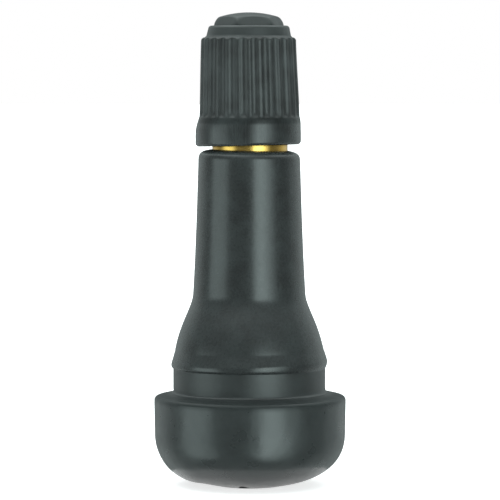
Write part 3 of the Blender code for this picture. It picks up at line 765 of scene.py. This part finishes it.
def stem_outline():
    """The stem's plain parts: the collar, the shank, the foot and the bores below the thread."""
    thread_bore = PLUG_R + CORE_THREAD_PLAY + 0.05
    outer = [
        (RELIEF_R, RELIEF_TOP), (RELIEF_R, COLLAR_TOP + 0.25), (THREAD_R - 0.12, COLLAR_TOP),
        (THREAD_R, COLLAR_TOP - 0.12),
    ]
    inner = [
        (AIR_BORE_R, STEM_FOOT), (AIR_BORE_R, CORE_BORE_Z - (CORE_BORE_R - AIR_BORE_R)),
        (CORE_BORE_R, CORE_BORE_Z), (CORE_BORE_R, TAPER_BOTTOM), (2.4, TAPER_TOP),
        (thread_bore, TAPER_TOP + 0.3), (thread_bore, PLUG_SKIRT_Z),
    ]
    return softened(outer + stem_side(0.0) + inner, 0.06, 2)


def chamfered_thread(x, y, z):
    """The outer thread's lead-ins: a cone at the mouth and one above the relief groove."""
    top = THREAD_R - MOUTH_CHAMFER + (MOUTH - z)
    bottom = THREAD_R - CAP_THREAD_DEPTH - 0.02 + (z - RELIEF_TOP)
    return at_radius(x, y, z, min(math.hypot(x, y), top, bottom))


def chamfered_bore(x, y, z):
    """The inner thread's lead-in at the mouth."""
    cone = PLUG_R + CORE_THREAD_PLAY + BORE_CHAMFER - (MOUTH - z)
    return at_radius(x, y, z, max(math.hypot(x, y), cone))


section = thread_section(THREAD_R, CAP_THREAD_DEPTH, CAP_PITCH)
outer_thread = screw(section, CAP_PITCH, RELIEF_TOP, MOUTH, CAP_RIM)
moved(outer_thread, chamfered_thread)
section = thread_section(PLUG_R, CORE_THREAD_DEPTH, CORE_PITCH, CORE_THREAD_PLAY)
inner_thread = screw(section, CORE_PITCH, PLUG_SKIRT_Z, MOUTH, PLUG_SKIRT_Z)
moved(inner_thread, chamfered_bore)
plain = lathe(stem_outline(), CORE_STEPS, closed=False)
shape = joined((plain, outer_thread, inner_thread), (RELIEF_TOP, PLUG_SKIRT_Z, MOUTH))
add_piece("valve_stem", shape, "valve", "brass_stem", brass)

# %% [markdown]
# ## The valve core
#
# The core screws into the stem as one small cartridge. Its plug is bridged over the pin, so that a
# two-pronged key turns it. Below the plug the barrel hangs on a swivel, seals in the stem's taper
# and houses the spring. Each turned piece gets its edges broken, as they would be after tumbling.

# %% Make the core's plug
PLUG_TOP = high("core_plug")
PLUG_BOTTOM = low("core_plug")
PLUG_THREAD_TOP = PLUG_TOP - 1.5
THREAD_START = PLUG_SKIRT_Z + 0.3
PIN_GUIDE_R = 0.8
BRIDGE_HALF = 1.3
SWIVEL_TOP = high("core_barrel")
SWIVEL_BOTTOM = SWIVEL_TOP - 0.55
PLUG_SKIRT_R = 1.95


def plug_outline():
    """The plug's plain parts: the bridge above the thread, and the skirt and pocket below it."""
    root_r = PLUG_R - CORE_THREAD_DEPTH
    return softened([
        (root_r - 0.1, THREAD_START), (PLUG_SKIRT_R, PLUG_SKIRT_Z), (PLUG_SKIRT_R, PLUG_BOTTOM),
        (1.09, PLUG_BOTTOM), (1.09, SWIVEL_BOTTOM - 0.04), (1.44, SWIVEL_BOTTOM - 0.04),
        (1.44, SWIVEL_TOP + 0.04), (1.15, SWIVEL_TOP + 0.04), (1.15, PLUG_THREAD_TOP - 0.55),
        (1.5, PLUG_THREAD_TOP - 0.2), (1.5, PLUG_TOP - 0.5), (PIN_GUIDE_R, PLUG_TOP - 0.5),
        (PIN_GUIDE_R, PLUG_TOP), (root_r - 0.02, PLUG_TOP), (root_r - 0.02, PLUG_THREAD_TOP + 0.25),
        (root_r - 0.1, PLUG_THREAD_TOP),
    ], 0.07, 2)


def chamfered_plug(x, y, z):
    """The plug's thread starts and ends on a cone."""
    root_r = PLUG_R - CORE_THREAD_DEPTH - 0.03
    cone = root_r + min(z - THREAD_START, PLUG_THREAD_TOP - z)
    return at_radius(x, y, z, min(math.hypot(x, y), cone))


def make_bridge_flats():
    """Two blocks that leave a flat bridge across the plug's top."""
    tool = bmesh.new()
    bottom = PLUG_THREAD_TOP + 0.3
    size = Vector((2, 8, 4)) * MM
    for side in (-1, 1):
        place = Vector((side * (BRIDGE_HALF + 1), 0, bottom + 2)) * MM
        block = bmesh.ops.create_cube(tool, size=1.0)["verts"]
        bmesh.ops.scale(tool, vec=size, verts=block)
        bmesh.ops.translate(tool, vec=place, verts=block)
    return tool


section = thread_section(PLUG_R, CORE_THREAD_DEPTH, CORE_PITCH)
plug_thread = screw(section, CORE_PITCH, THREAD_START, PLUG_THREAD_TOP, PLUG_SKIRT_Z)
moved(plug_thread, chamfered_plug)
plain = lathe(plug_outline(), CORE_STEPS, closed=False)
shape = joined((plain, plug_thread), (THREAD_START, PLUG_THREAD_TOP))
shape = carved(shape, make_bridge_flats())
add_piece("core_plug_turned", shape, "valve", "core_plug", brass)

# %% Make the core's barrel and its gasket
BARREL_TOP = low("barrel_gasket") - 0.04
BARREL_BOTTOM = low("core_barrel")
BARREL_R = 1.75
BARREL_BORE_R = 0.75
CHAMBER_R = 1.2
CHAMBER_FLOOR = BARREL_BOTTOM + 1.1
CHAMBER_ROOF = BARREL_TOP - 0.4
FLANGE_BOTTOM = high("barrel_gasket") + 0.04


def barrel_outline():
    """The barrel from its swivel head down to the seat, and back up through its chamber."""
    return softened([
        (BARREL_BORE_R, SWIVEL_TOP), (1.4, SWIVEL_TOP), (1.4, SWIVEL_BOTTOM), (1.05, SWIVEL_BOTTOM),
        (1.05, PLUG_BOTTOM - 0.05), (1.9, PLUG_BOTTOM - 0.05), (1.9, FLANGE_BOTTOM),
        (1.3, FLANGE_BOTTOM), (1.3, BARREL_TOP), (BARREL_R, BARREL_TOP),
        (BARREL_R, BARREL_BOTTOM + 0.35), (1.4, BARREL_BOTTOM), (BARREL_BORE_R, BARREL_BOTTOM),
        (BARREL_BORE_R, CHAMBER_FLOOR), (CHAMBER_R, CHAMBER_FLOOR), (CHAMBER_R, CHAMBER_ROOF),
        (BARREL_BORE_R, CHAMBER_ROOF), (BARREL_BORE_R, SWIVEL_TOP - 0.1),
    ], 0.05, 2)


def gasket_outline():
    """The conical seal, a hair clear of the taper and the barrel round it."""
    low_z, high_z = low("barrel_gasket"), high("barrel_gasket")
    points = [(1.34, high_z - 0.2), (1.34, high_z), (2.32, high_z), (1.93, low_z), (1.34, low_z)]
    return softened(points, 0.08, 3)


shape = lathe(barrel_outline(), CORE_STEPS)
add_piece("core_barrel_turned", shape, "valve", "core_barrel", brass)
shape = lathe(gasket_outline(), CORE_STEPS)
add_piece("barrel_seal", shape, "valve", "barrel_gasket", ptfe)

# %% [markdown]
# ## The pin, its cup and its washer
#
# Pressing the pin opens the valve. Its head is rounded for a pump's plunger, a collar is swaged on
# it over the spring, and its lower end is riveted over the brass cup that holds the rubber washer.

# %% Make the pin, the cup and the washer
PIN_TOP = high("core_pin")
PIN_BOTTOM = low("core_pin")
CUP_BOTTOM = low("seat_cup")
CUP_RIM = high("seat_cup")
WASHER_TOP = high("seat_washer")
PIN_R = 0.45
PIN_HEAD_R = 0.72
PIN_HEAD_ROUND = 0.22
PIN_HOLE_R = 0.49
CUP_R = 1.34
COLLAR_Z = CHAMBER_ROOF - 0.55


def pin_outline():
    """The pin from the top of its head to its riveted end."""
    points = [(0.0, PIN_TOP)]
    centre = (PIN_HEAD_R - PIN_HEAD_ROUND, PIN_TOP - PIN_HEAD_ROUND)
    points += arc(centre, (PIN_HEAD_ROUND, PIN_HEAD_ROUND), 90, 0, 6)
    points += softened(
        [
            (PIN_HEAD_R, PIN_TOP - 0.4), (PIN_HEAD_R, PIN_TOP - 1.1), (PIN_R, PIN_TOP - 1.37),
            (PIN_R, COLLAR_Z + 0.5), (1.05, COLLAR_Z + 0.5), (1.05, COLLAR_Z), (PIN_R, COLLAR_Z),
            (PIN_R, CUP_BOTTOM - 0.04), (0.72, CUP_BOTTOM - 0.04), (0.57, PIN_BOTTOM),
            (0.0, PIN_BOTTOM),
        ],
        0.06,
    )
    return points


def cup_outline():
    """A small drawn cup with a hole for the pin."""
    floor = CUP_BOTTOM + 0.35
    return softened([
        (CUP_R, CUP_RIM - 0.1), (CUP_R, CUP_RIM), (1.54, CUP_RIM), (1.54, CUP_BOTTOM),
        (PIN_HOLE_R, CUP_BOTTOM), (PIN_HOLE_R, floor), (CUP_R, floor),
    ], 0.09)


def washer_outline():
    """The seat's rubber washer, with the ring that the barrel has pressed in its top."""
    bottom = low("seat_washer")
    return softened([
        (PIN_HOLE_R, WASHER_TOP - 0.1), (PIN_HOLE_R, WASHER_TOP), (0.8, WASHER_TOP),
        (0.9, WASHER_TOP - 0.04), (1.0, WASHER_TOP), (1.3, WASHER_TOP), (1.3, bottom),
        (PIN_HOLE_R, bottom),
    ], 0.06)


shape = lathe(pin_outline(), CORE_STEPS, closed=False)
add_piece("valve_pin", shape, "pin", "core_pin", pin_steel)
shape = lathe(cup_outline(), CORE_STEPS)
add_piece("pin_cup", shape, "pin", "seat_cup", brass)
shape = lathe(washer_outline(), CORE_STEPS)
add_piece("pin_washer", shape, "pin", "seat_washer", nitrile)

# %% [markdown]
# ## The spring
#
# Eight coils of thin wire. A circle of points is spun round the axis with a lift, and its two ends
# are closed. It can't follow the pin as one rigid piece, so it rides on the valve's body instead,
# with a mesh of its own.

# %% Make the spring
WIRE_R = 0.12
SPRING_R = 0.9
SPRING_COILS = 8
SPRING_LOW = low("core_spring") + WIRE_R
SPRING_HIGH = high("core_spring") - WIRE_R
COIL_STEPS = 48
WIRE_SIDES = 14


def make_spring():
    """The wire's round section, spun up the coils."""
    wire = bmesh.new()
    place = Matrix.Translation((SPRING_R * MM, 0, SPRING_LOW * MM))
    place = place @ Matrix.Rotation(math.tau / 4, 4, "X")
    ring = bmesh.ops.create_circle(wire, segments=WIRE_SIDES, radius=WIRE_R * MM, matrix=place)
    steps = SPRING_COILS * COIL_STEPS
    spin(wire, ring["verts"] + wire.edges[:], math.tau * SPRING_COILS, steps,
         (SPRING_HIGH - SPRING_LOW) * MM / steps)
    bmesh.ops.holes_fill(wire, edges=[e for e in wire.edges if e.is_boundary], sides=WIRE_SIDES)
    return wire


core_spring = add_piece(
    "core_spring_wire", make_spring(), "valve", "core_spring", spring_steel)
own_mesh(core_spring)
print(f"spring {SPRING_HIGH - SPRING_LOW:.2f} mm between its wire's ends")

# %% [markdown]
# ## The dust cap
#
# The cap's outside is spun from one outline with a column every degree or so. Then its points are
# moved inwards to the nearest of the shapes that cut it: 27 round flutes up the grip, and the six
# flats of the boss under its dome. Taking a soft minimum instead of a hard one rounds every edge
# between them, as a mould's do.

# %% Draw the cap's outline
FLUTE_COUNT = 27
CAP_STEPS = 14 * FLUTE_COUNT
SKIRT_R = 5.41
RIM_ROUND = 0.38
GRIP_BOTTOM_R = 5.14
GRIP_TOP_R = 4.87
CEILING = high("cap_gasket") + 0.05
CROWN_Z = CEILING + 0.7
CROWN_ROUND = 0.38
COLLAR_R = 4.33
COLLAR_LEAN = math.tan(math.radians(13))
COLLAR_ROUND = 0.36
COLLAR_HIGH = CROWN_Z + 1.2
DOME_R = 3.62
DOME_ROUND = 0.92
DOME_CROWN = 0.43


def dome(count):
    """The boss's dome from its top: a shallow crown that runs over a rounded edge to the collar."""
    edge_r = DOME_R - DOME_ROUND
    lean = math.radians(75)
    crown_r = edge_r + DOME_ROUND * math.cos(lean)
    edge_height = (CAP_TOP - COLLAR_HIGH - DOME_CROWN) / math.sin(lean)
    ball_r = (crown_r ** 2 + DOME_CROWN ** 2) / (2 * DOME_CROWN)
    radii = [crown_r * i / count for i in range(count)]
    crown = [(r, CAP_TOP - ball_r + math.sqrt(ball_r ** 2 - r ** 2)) for r in radii]
    return crown + arc((edge_r, COLLAR_HIGH), (DOME_ROUND, edge_height), 75, 0, count)


def cap_outline():
    """The cap's outside, from the dome's top to the flat of its rim."""
    crown_r = GRIP_TOP_R - CROWN_ROUND
    points = dome(16)
    foot_z = CROWN_Z + (crown_r - COLLAR_R)
    lean = COLLAR_LEAN * (COLLAR_HIGH - COLLAR_ROUND - foot_z)
    edge_r = COLLAR_R - lean - COLLAR_ROUND
    points += line((DOME_R + 0.04, COLLAR_HIGH), (edge_r, COLLAR_HIGH - 0.01), 2)
    points += arc((edge_r, COLLAR_HIGH - COLLAR_ROUND), (COLLAR_ROUND, COLLAR_ROUND), 84, 13, 9)
    points += line((COLLAR_R - 0.4 * lean, foot_z + 0.4 * (COLLAR_HIGH - COLLAR_ROUND - foot_z)),
                   (COLLAR_R, foot_z), 2)
    points += arc((crown_r, CROWN_Z - CROWN_ROUND), (CROWN_ROUND, CROWN_ROUND), 90, 0, 14)
    points += line((GRIP_TOP_R, CROWN_Z - CROWN_ROUND - 0.1), (GRIP_BOTTOM_R, SKIRT_Z), 26)
    side = (SKIRT_R, CAP_RIM + 1.15)
    points += sweep((GRIP_BOTTOM_R, SKIRT_Z), side, (0.45, 0.17), (0.0, 0.45), 24)[1:]
    points += line(side, (SKIRT_R, CAP_RIM + RIM_ROUND), 3)[1:]
    rim_centre = (SKIRT_R - RIM_ROUND, CAP_RIM + RIM_ROUND)
    points += arc(rim_centre, (RIM_ROUND, RIM_ROUND), 0, -90, 12)[1:]
    return points


print(f"{len(cap_outline())} points, {CAP_STEPS} columns")

# %% Shape the flutes and the boss
FLUTE_R = 0.52
FLUTE_DEPTH = 0.2
FLUTE_END = SKIRT_Z - 0.08
FLUTE_RUN_OUT = 0.35
FLUTE_EDGE = 0.07
BOSS_TURN = math.radians(10)
BOSS_FLAT_R = 3.3
BOSS_EDGE = 0.22
BOSS_LEAN = math.tan(math.radians(27))
CAP_OFF_CENTRE = ((0.0, -0.18), (1.5, -0.18), (3.1, -0.05), (10.7, -0.15), (12.2, -0.11))
RIM_TILT = 0.022
RIM_NOD = 0.022
RIM_RISE = 0.08
SKIRT_BACK = 0.12
OUTSIDE_R = (4.36, 4.7)
OUTSIDE_UP = (10.6, 11.1)


def flute_floor(angle, z):
    """The distance from the axis to the nearest flute's wall, or far out between two flutes."""
    share = (z - SKIRT_Z) / (CROWN_Z - CROWN_ROUND - SKIRT_Z)
    centre = GRIP_BOTTOM_R + (GRIP_TOP_R - GRIP_BOTTOM_R) * share + FLUTE_R - FLUTE_DEPTH
    pitch = math.tau / FLUTE_COUNT
    off = (angle + math.tau / 4) % pitch - pitch / 2
    across = centre * math.sin(off)
    if abs(across) >= FLUTE_R:
        return centre
    return centre * math.cos(off) - math.sqrt(FLUTE_R ** 2 - across ** 2)


def boss_side(angle, z):
    """The distance from the axis to the leaning flat that a direction meets."""
    off = (angle - BOSS_TURN) % (math.tau / 6) - math.tau / 12
    return (BOSS_FLAT_R - BOSS_LEAN * (z - COLLAR_HIGH)) / math.cos(off)


def cut_cap(x, y, z):
    """Move a point of the turned cap inwards to the flute or the flat that cuts it there."""
    reach = math.hypot(x, y)
    angle = math.atan2(y, x)
    radius = reach
    if z > COLLAR_HIGH - 0.001 and reach < DOME_R + 0.001:
        radius = min(reach, soft_min(reach, boss_side(angle, z), BOSS_EDGE))
    elif FLUTE_END < z < CROWN_Z + 0.001:
        cut = soft_min(reach, flute_floor(angle, z), FLUTE_EDGE)
        radius = reach + (min(cut, reach) - reach) * ramp(z, FLUTE_END, FLUTE_END + FLUTE_RUN_OUT)
    return at_radius(x, y, z, radius)


def off_centre(x, y, z):
    """The outside's small errors: it stands off the thread's centre, and its rim isn't level."""
    up = z - CAP_RIM
    outer = max(ramp(math.hypot(x, y), *OUTSIDE_R), ramp(up, *OUTSIDE_UP))
    shift = CAP_OFF_CENTRE[0][1]
    for (low_up, low_x), (high_up, high_x) in zip(CAP_OFF_CENTRE, CAP_OFF_CENTRE[1:]):
        if low_up < up:
            shift = low_x + (high_x - low_x) * ramp(up, low_up, high_up)
    rim = 1 - ramp(up, 0.0, 0.7)
    skirt = 1 - ramp(up, 0.4, 2.6)
    back = SKIRT_BACK * (1 - ramp(z, CAP_RIM + 1.5, SKIRT_Z))
    lift = (RIM_RISE + RIM_TILT * x - RIM_NOD * y) * (rim + (skirt - rim) * outer)
    return x + shift * outer, y + back * outer, z + lift


print(f"a flute every {360 / FLUTE_COUNT:.2f} degrees")

# %% [markdown]
# Inside, the cap has the stem's thread, and a plain pocket at the top for its loose gasket. The
# thread is spun on its own, and the level rings between it and the rest are filled.

# %% Make the dust cap
CAP_PLAY = 0.08
LEAD_IN = 0.4
POCKET_R = THREAD_R + CAP_PLAY + 0.04
POCKET_LOW = low("cap_gasket") - 0.55


def lead_in(x, y, z):
    """The thread's lead-in cone at the cap's rim."""
    cone = THREAD_R + CAP_PLAY + LEAD_IN - (z - CAP_RIM)
    return at_radius(x, y, z, max(math.hypot(x, y), cone))


outside = lathe(cap_outline(), CAP_STEPS, closed=False)
moved(outside, cut_cap)
section = thread_section(THREAD_R, CAP_THREAD_DEPTH, CAP_PITCH, CAP_PLAY)
cap_thread = screw(section, CAP_PITCH, CAP_RIM, POCKET_LOW, CAP_RIM)
moved(cap_thread, lead_in)
pocket = [(POCKET_R, POCKET_LOW), (POCKET_R, CEILING), (0.0, CEILING)]
pocket = lathe(pocket, CORE_STEPS, closed=False)
shape = joined((outside, cap_thread, pocket), (CAP_RIM, POCKET_LOW))
moved(shape, off_centre)
add_piece("cap_moulded", shape, "cap", "dust_cap", cap_plastic)

# %% Make the cap's gasket
GASKET_R = 3.8


def disc_outline():
    """A loose disc with rounded edges, and the faint ring that the stem's mouth pressed in it."""
    low_z, high_z = low("cap_gasket"), high("cap_gasket")
    return softened([
        (0.0, high_z), (GASKET_R, high_z), (GASKET_R, low_z), (3.35, low_z), (3.2, low_z + 0.05),
        (3.05, low_z), (0.0, low_z),
    ], 0.11, 4)


shape = lathe(disc_outline(), CORE_STEPS, closed=False)
add_piece("cap_disc", shape, "cap_seal", "cap_gasket", nitrile)

# %% [markdown]
# ## Camera
#
# The photograph was taken with a long lens from a little above the valve's middle, so its upright
# sides stay almost parallel. The lens follows from the distance and from how much one pixel covers
# at the valve's axis.

# %% Set up the camera
IMAGE_WIDTH = 500
CAMERA_DISTANCE = 340.0
CAMERA_HEIGHT = 43.5
AIM_HEIGHT = 24.16
MM_PER_PIXEL = 0.1025
SENSOR = 36.0

lens = bpy.data.cameras.new("portrait_lens")
lens.sensor_width = SENSOR
lens.lens = SENSOR * CAMERA_DISTANCE / (IMAGE_WIDTH * MM_PER_PIXEL)
lens.clip_start = 0.01
lens.clip_end = 50.0
camera = bpy.data.objects.new("portrait_camera", lens)
bpy.context.scene.collection.objects.link(camera)
camera.location = Vector((0.0, -CAMERA_DISTANCE, CAMERA_HEIGHT)) * MM
look_at = Vector((0.0, 0.0, AIM_HEIGHT)) * MM
camera.rotation_euler = (look_at - camera.location).to_track_quat("-Z", "Y").to_euler()
bpy.context.scene.camera = camera
print(f"lens {lens.lens:.1f} mm at {CAMERA_DISTANCE:.0f} mm")

# %% [markdown]
# ## Floor
#
# A white card lies under the valve. To the camera it is as white as the backdrop behind it, and it
# darkens softly where the valve keeps light off it. Under the foot it is dark, which shows only in
# the vent. The reflections in the photograph run far down the flange, because its lights reached
# below the object. So beyond a small round of card, the floor lets reflections through to those
# lights, while everything else still meets plain white.

# %% Make the floor
CARD_R = 9.3
CARD_GLOW = 0.72
FLOOR_SIZE = 3.0
FLOOR_GAP = 0.02


def make_card():
    """Matt white card, and a window for reflections that meet it further out than CARD_R."""
    look, tree, shader, place = new_look("matt_white_card")
    ray = add(tree, "LightPath").outputs
    reach = add(tree, "VectorMath", {0: place}, operation="LENGTH")
    # Painted shadow: the card's glow is cut off under the foot, so the vent looks dark.
    outside_painted_foot_shadow = add(tree, "MapRange", {
        "Value": reach, "From Min": (FOOT_R - 0.1) * MM, "From Max": (FOOT_R + 0.25) * MM}, **SOFT)
    seen = add(tree, "Math", {0: ray["Is Camera Ray"], 1: outside_painted_foot_shadow}, operation="MULTIPLY")
    for kind in ("Is Glossy Ray", "Is Transmission Ray"):
        seen = add(tree, "Math", {0: seen, 1: ray[kind]}, operation="MAXIMUM")
    glow = add(tree, "Math", {0: seen, 1: CARD_GLOW}, operation="MULTIPLY")
    fibre = add(tree, "TexNoise", {"Vector": place, "Scale": per_mm(0.5), "Detail": 3.0})
    paper = add(tree, "Mix", {
        "Factor": fibre, "A": srgb("#e6e6e6"), "B": srgb("#ececec")}, data_type="RGBA")
    feed(tree, shader, {
        "Base Color": paper, "Roughness": 0.9, "Specular IOR Level": 0.1,
        "Emission Color": (1, 1, 1, 1), "Emission Strength": glow})
    beyond = add(tree, "Math", {0: reach, 1: CARD_R * MM}, operation="GREATER_THAN")
    window = add(tree, "Math", {0: beyond, 1: ray["Is Glossy Ray"]}, operation="MULTIPLY")
    mixed = add(tree, "MixShader", {0: window, 1: shader, 2: add(tree, "BsdfTransparent")})
    output = next(node for node in tree.nodes if node.type == "OUTPUT_MATERIAL")
    feed(tree, output, {"Surface": mixed})
    return look


card = bmesh.new()
bmesh.ops.create_grid(card, x_segments=1, y_segments=1, size=FLOOR_SIZE)
floor = as_object("floor", card)
floor.location.z = -FLOOR_GAP * MM
floor.data.materials.append(make_card())
print(f"floor {2 * FLOOR_SIZE:.0f} m across")

# %% [markdown]
# ## Studio light
#
# The lights are painted in the world by direction. Black rubber shows little but reflections, so
# their places decide the whole picture. A tall softbox stands just right of the lens and fades away
# from it, and a weaker one stands far to the left. The white backdrop wraps round behind the valve
# and lights both of its edges, and a white ceiling lights whatever faces up. What is left is a dim
# room, which shows between the lights. The camera itself sees plain white.
#
# Every light is one row of stops round the set times one row of stops up it, both in degrees: 0 is
# towards the camera and level, and to the right and up are positive.

# %% Light the set
RIGHT_BOX = {
    "strength": 4.2,
    "colour": "#eafffd",
    "round": ((8, 0), (13, 0.9), (20, 1), (29, 1), (36, 0.82), (44, 0.5), (53, 0.27), (60, 0)),
    "up": ((-43, 0), (-38, 0.95), (4, 1), (13, 1.05), (21, 0)),
}
LEFT_BOX = {
    "strength": 2.0,
    "colour": "#eafffd",
    "round": ((-92, 0), (-87, 1), (-52, 1), (-45, 0)),
    "up": ((-43, 0), (-38, 1), (6, 1), (14, 0)),
}
BACKDROP = {
    "strength": 1.0,
    "colour": "#f2fffe",
    "round": ((-170, 0.08), (-152, 0.36), (-142, 0.48), (-125, 0.52), (-112, 0.28), (-101, 0.08),
              (-98, 0), (95, 0), (99, 0.23), (110, 0.4), (123, 0.45), (138, 0.54), (152, 0.36),
              (170, 0.08)),
    "up": ((-90, 1), (60, 1), (70, 0)),
}
ROOM = {
    "strength": 1.0,
    "colour": "#f2fffe",
    "round": ((-180, 1), (180, 1)),
    "up": ((-90, 0.5), (-62, 0.5), (-46, 0.24), (4, 0.22), (22, 0.28), (32, 0.48), (42, 0.5),
           (58, 0.6)),
}
CEILING_CARD = {
    "strength": 2.2,
    "colour": "#f4fffe",
    "round": ((-180, 0.7), (-130, 1), (-60, 1), (-20, 0.6), (20, 0.35), (60, 0.35), (110, 1),
              (180, 0.7)),
    "up": ((39, 0), (56, 1)),
}


def make_studio():
    """The world: each light is one profile round the set times one up it, and all are added."""
    world = bpy.data.worlds.new("studio")
    world.use_nodes = True
    tree = world.node_tree
    tree.nodes.clear()
    way = add(tree, "TexCoord").outputs["Generated"]
    axes = add(tree, "SeparateXYZ", {"Vector": way}).outputs
    front = add(tree, "Math", {0: axes["Y"], 1: -1.0}, operation="MULTIPLY")
    turn = add(tree, "Math", {0: axes["X"], 1: front}, operation="ARCTAN2")
    turn = add(tree, "MapRange", {"Value": turn, "From Min": -math.pi, "From Max": math.pi})
    rise = add(tree, "Math", {0: axes["Z"]}, operation="ARCSINE")
    rise = add(tree, "MapRange", {"Value": rise, "From Min": -math.pi / 2, "From Max": math.pi / 2})
    studio = None
    for light in (RIGHT_BOX, LEFT_BOX, BACKDROP, ROOM, CEILING_CARD):
        levels = []
        for stops, angle, span in ((light["round"], turn, 360), (light["up"], rise, 180)):
            levels.append(add(tree, "ValToRGB", {"Fac": angle}))
            points = levels[-1].color_ramp.elements
            while len(points) < len(stops):
                points.new(0.5)
            for point, (degrees, value) in zip(points, stops):
                point.position = degrees / span + 0.5
                point.color = (value, value, value, 1)
        shape = add(tree, "Math", dict(enumerate(levels)), operation="MULTIPLY")
        shape = add(tree, "Math", {0: shape, 1: light["strength"]}, operation="MULTIPLY")
        tint = add(tree, "Mix", {
            "Factor": 1.0, "A": shape, "B": srgb(light["colour"])},
            data_type="RGBA", blend_type="MULTIPLY")
        studio = tint if studio is None else add(tree, "Mix", {
            "Factor": 1.0, "A": studio, "B": tint}, data_type="RGBA", blend_type="ADD")
    camera_ray = add(tree, "LightPath").outputs["Is Camera Ray"]
    shown = add(tree, "Mix", {
        "Factor": camera_ray, "A": studio, "B": (1, 1, 1, 1)}, data_type="RGBA")
    shown = add(tree, "Background", {"Color": shown, "Strength": 1.0})
    add(tree, "OutputWorld", {"Surface": shown})
    return world


bpy.context.scene.world = make_studio()
print("lit by", bpy.context.scene.world.name)

bpy.context.scene.view_settings.view_transform = "Standard"
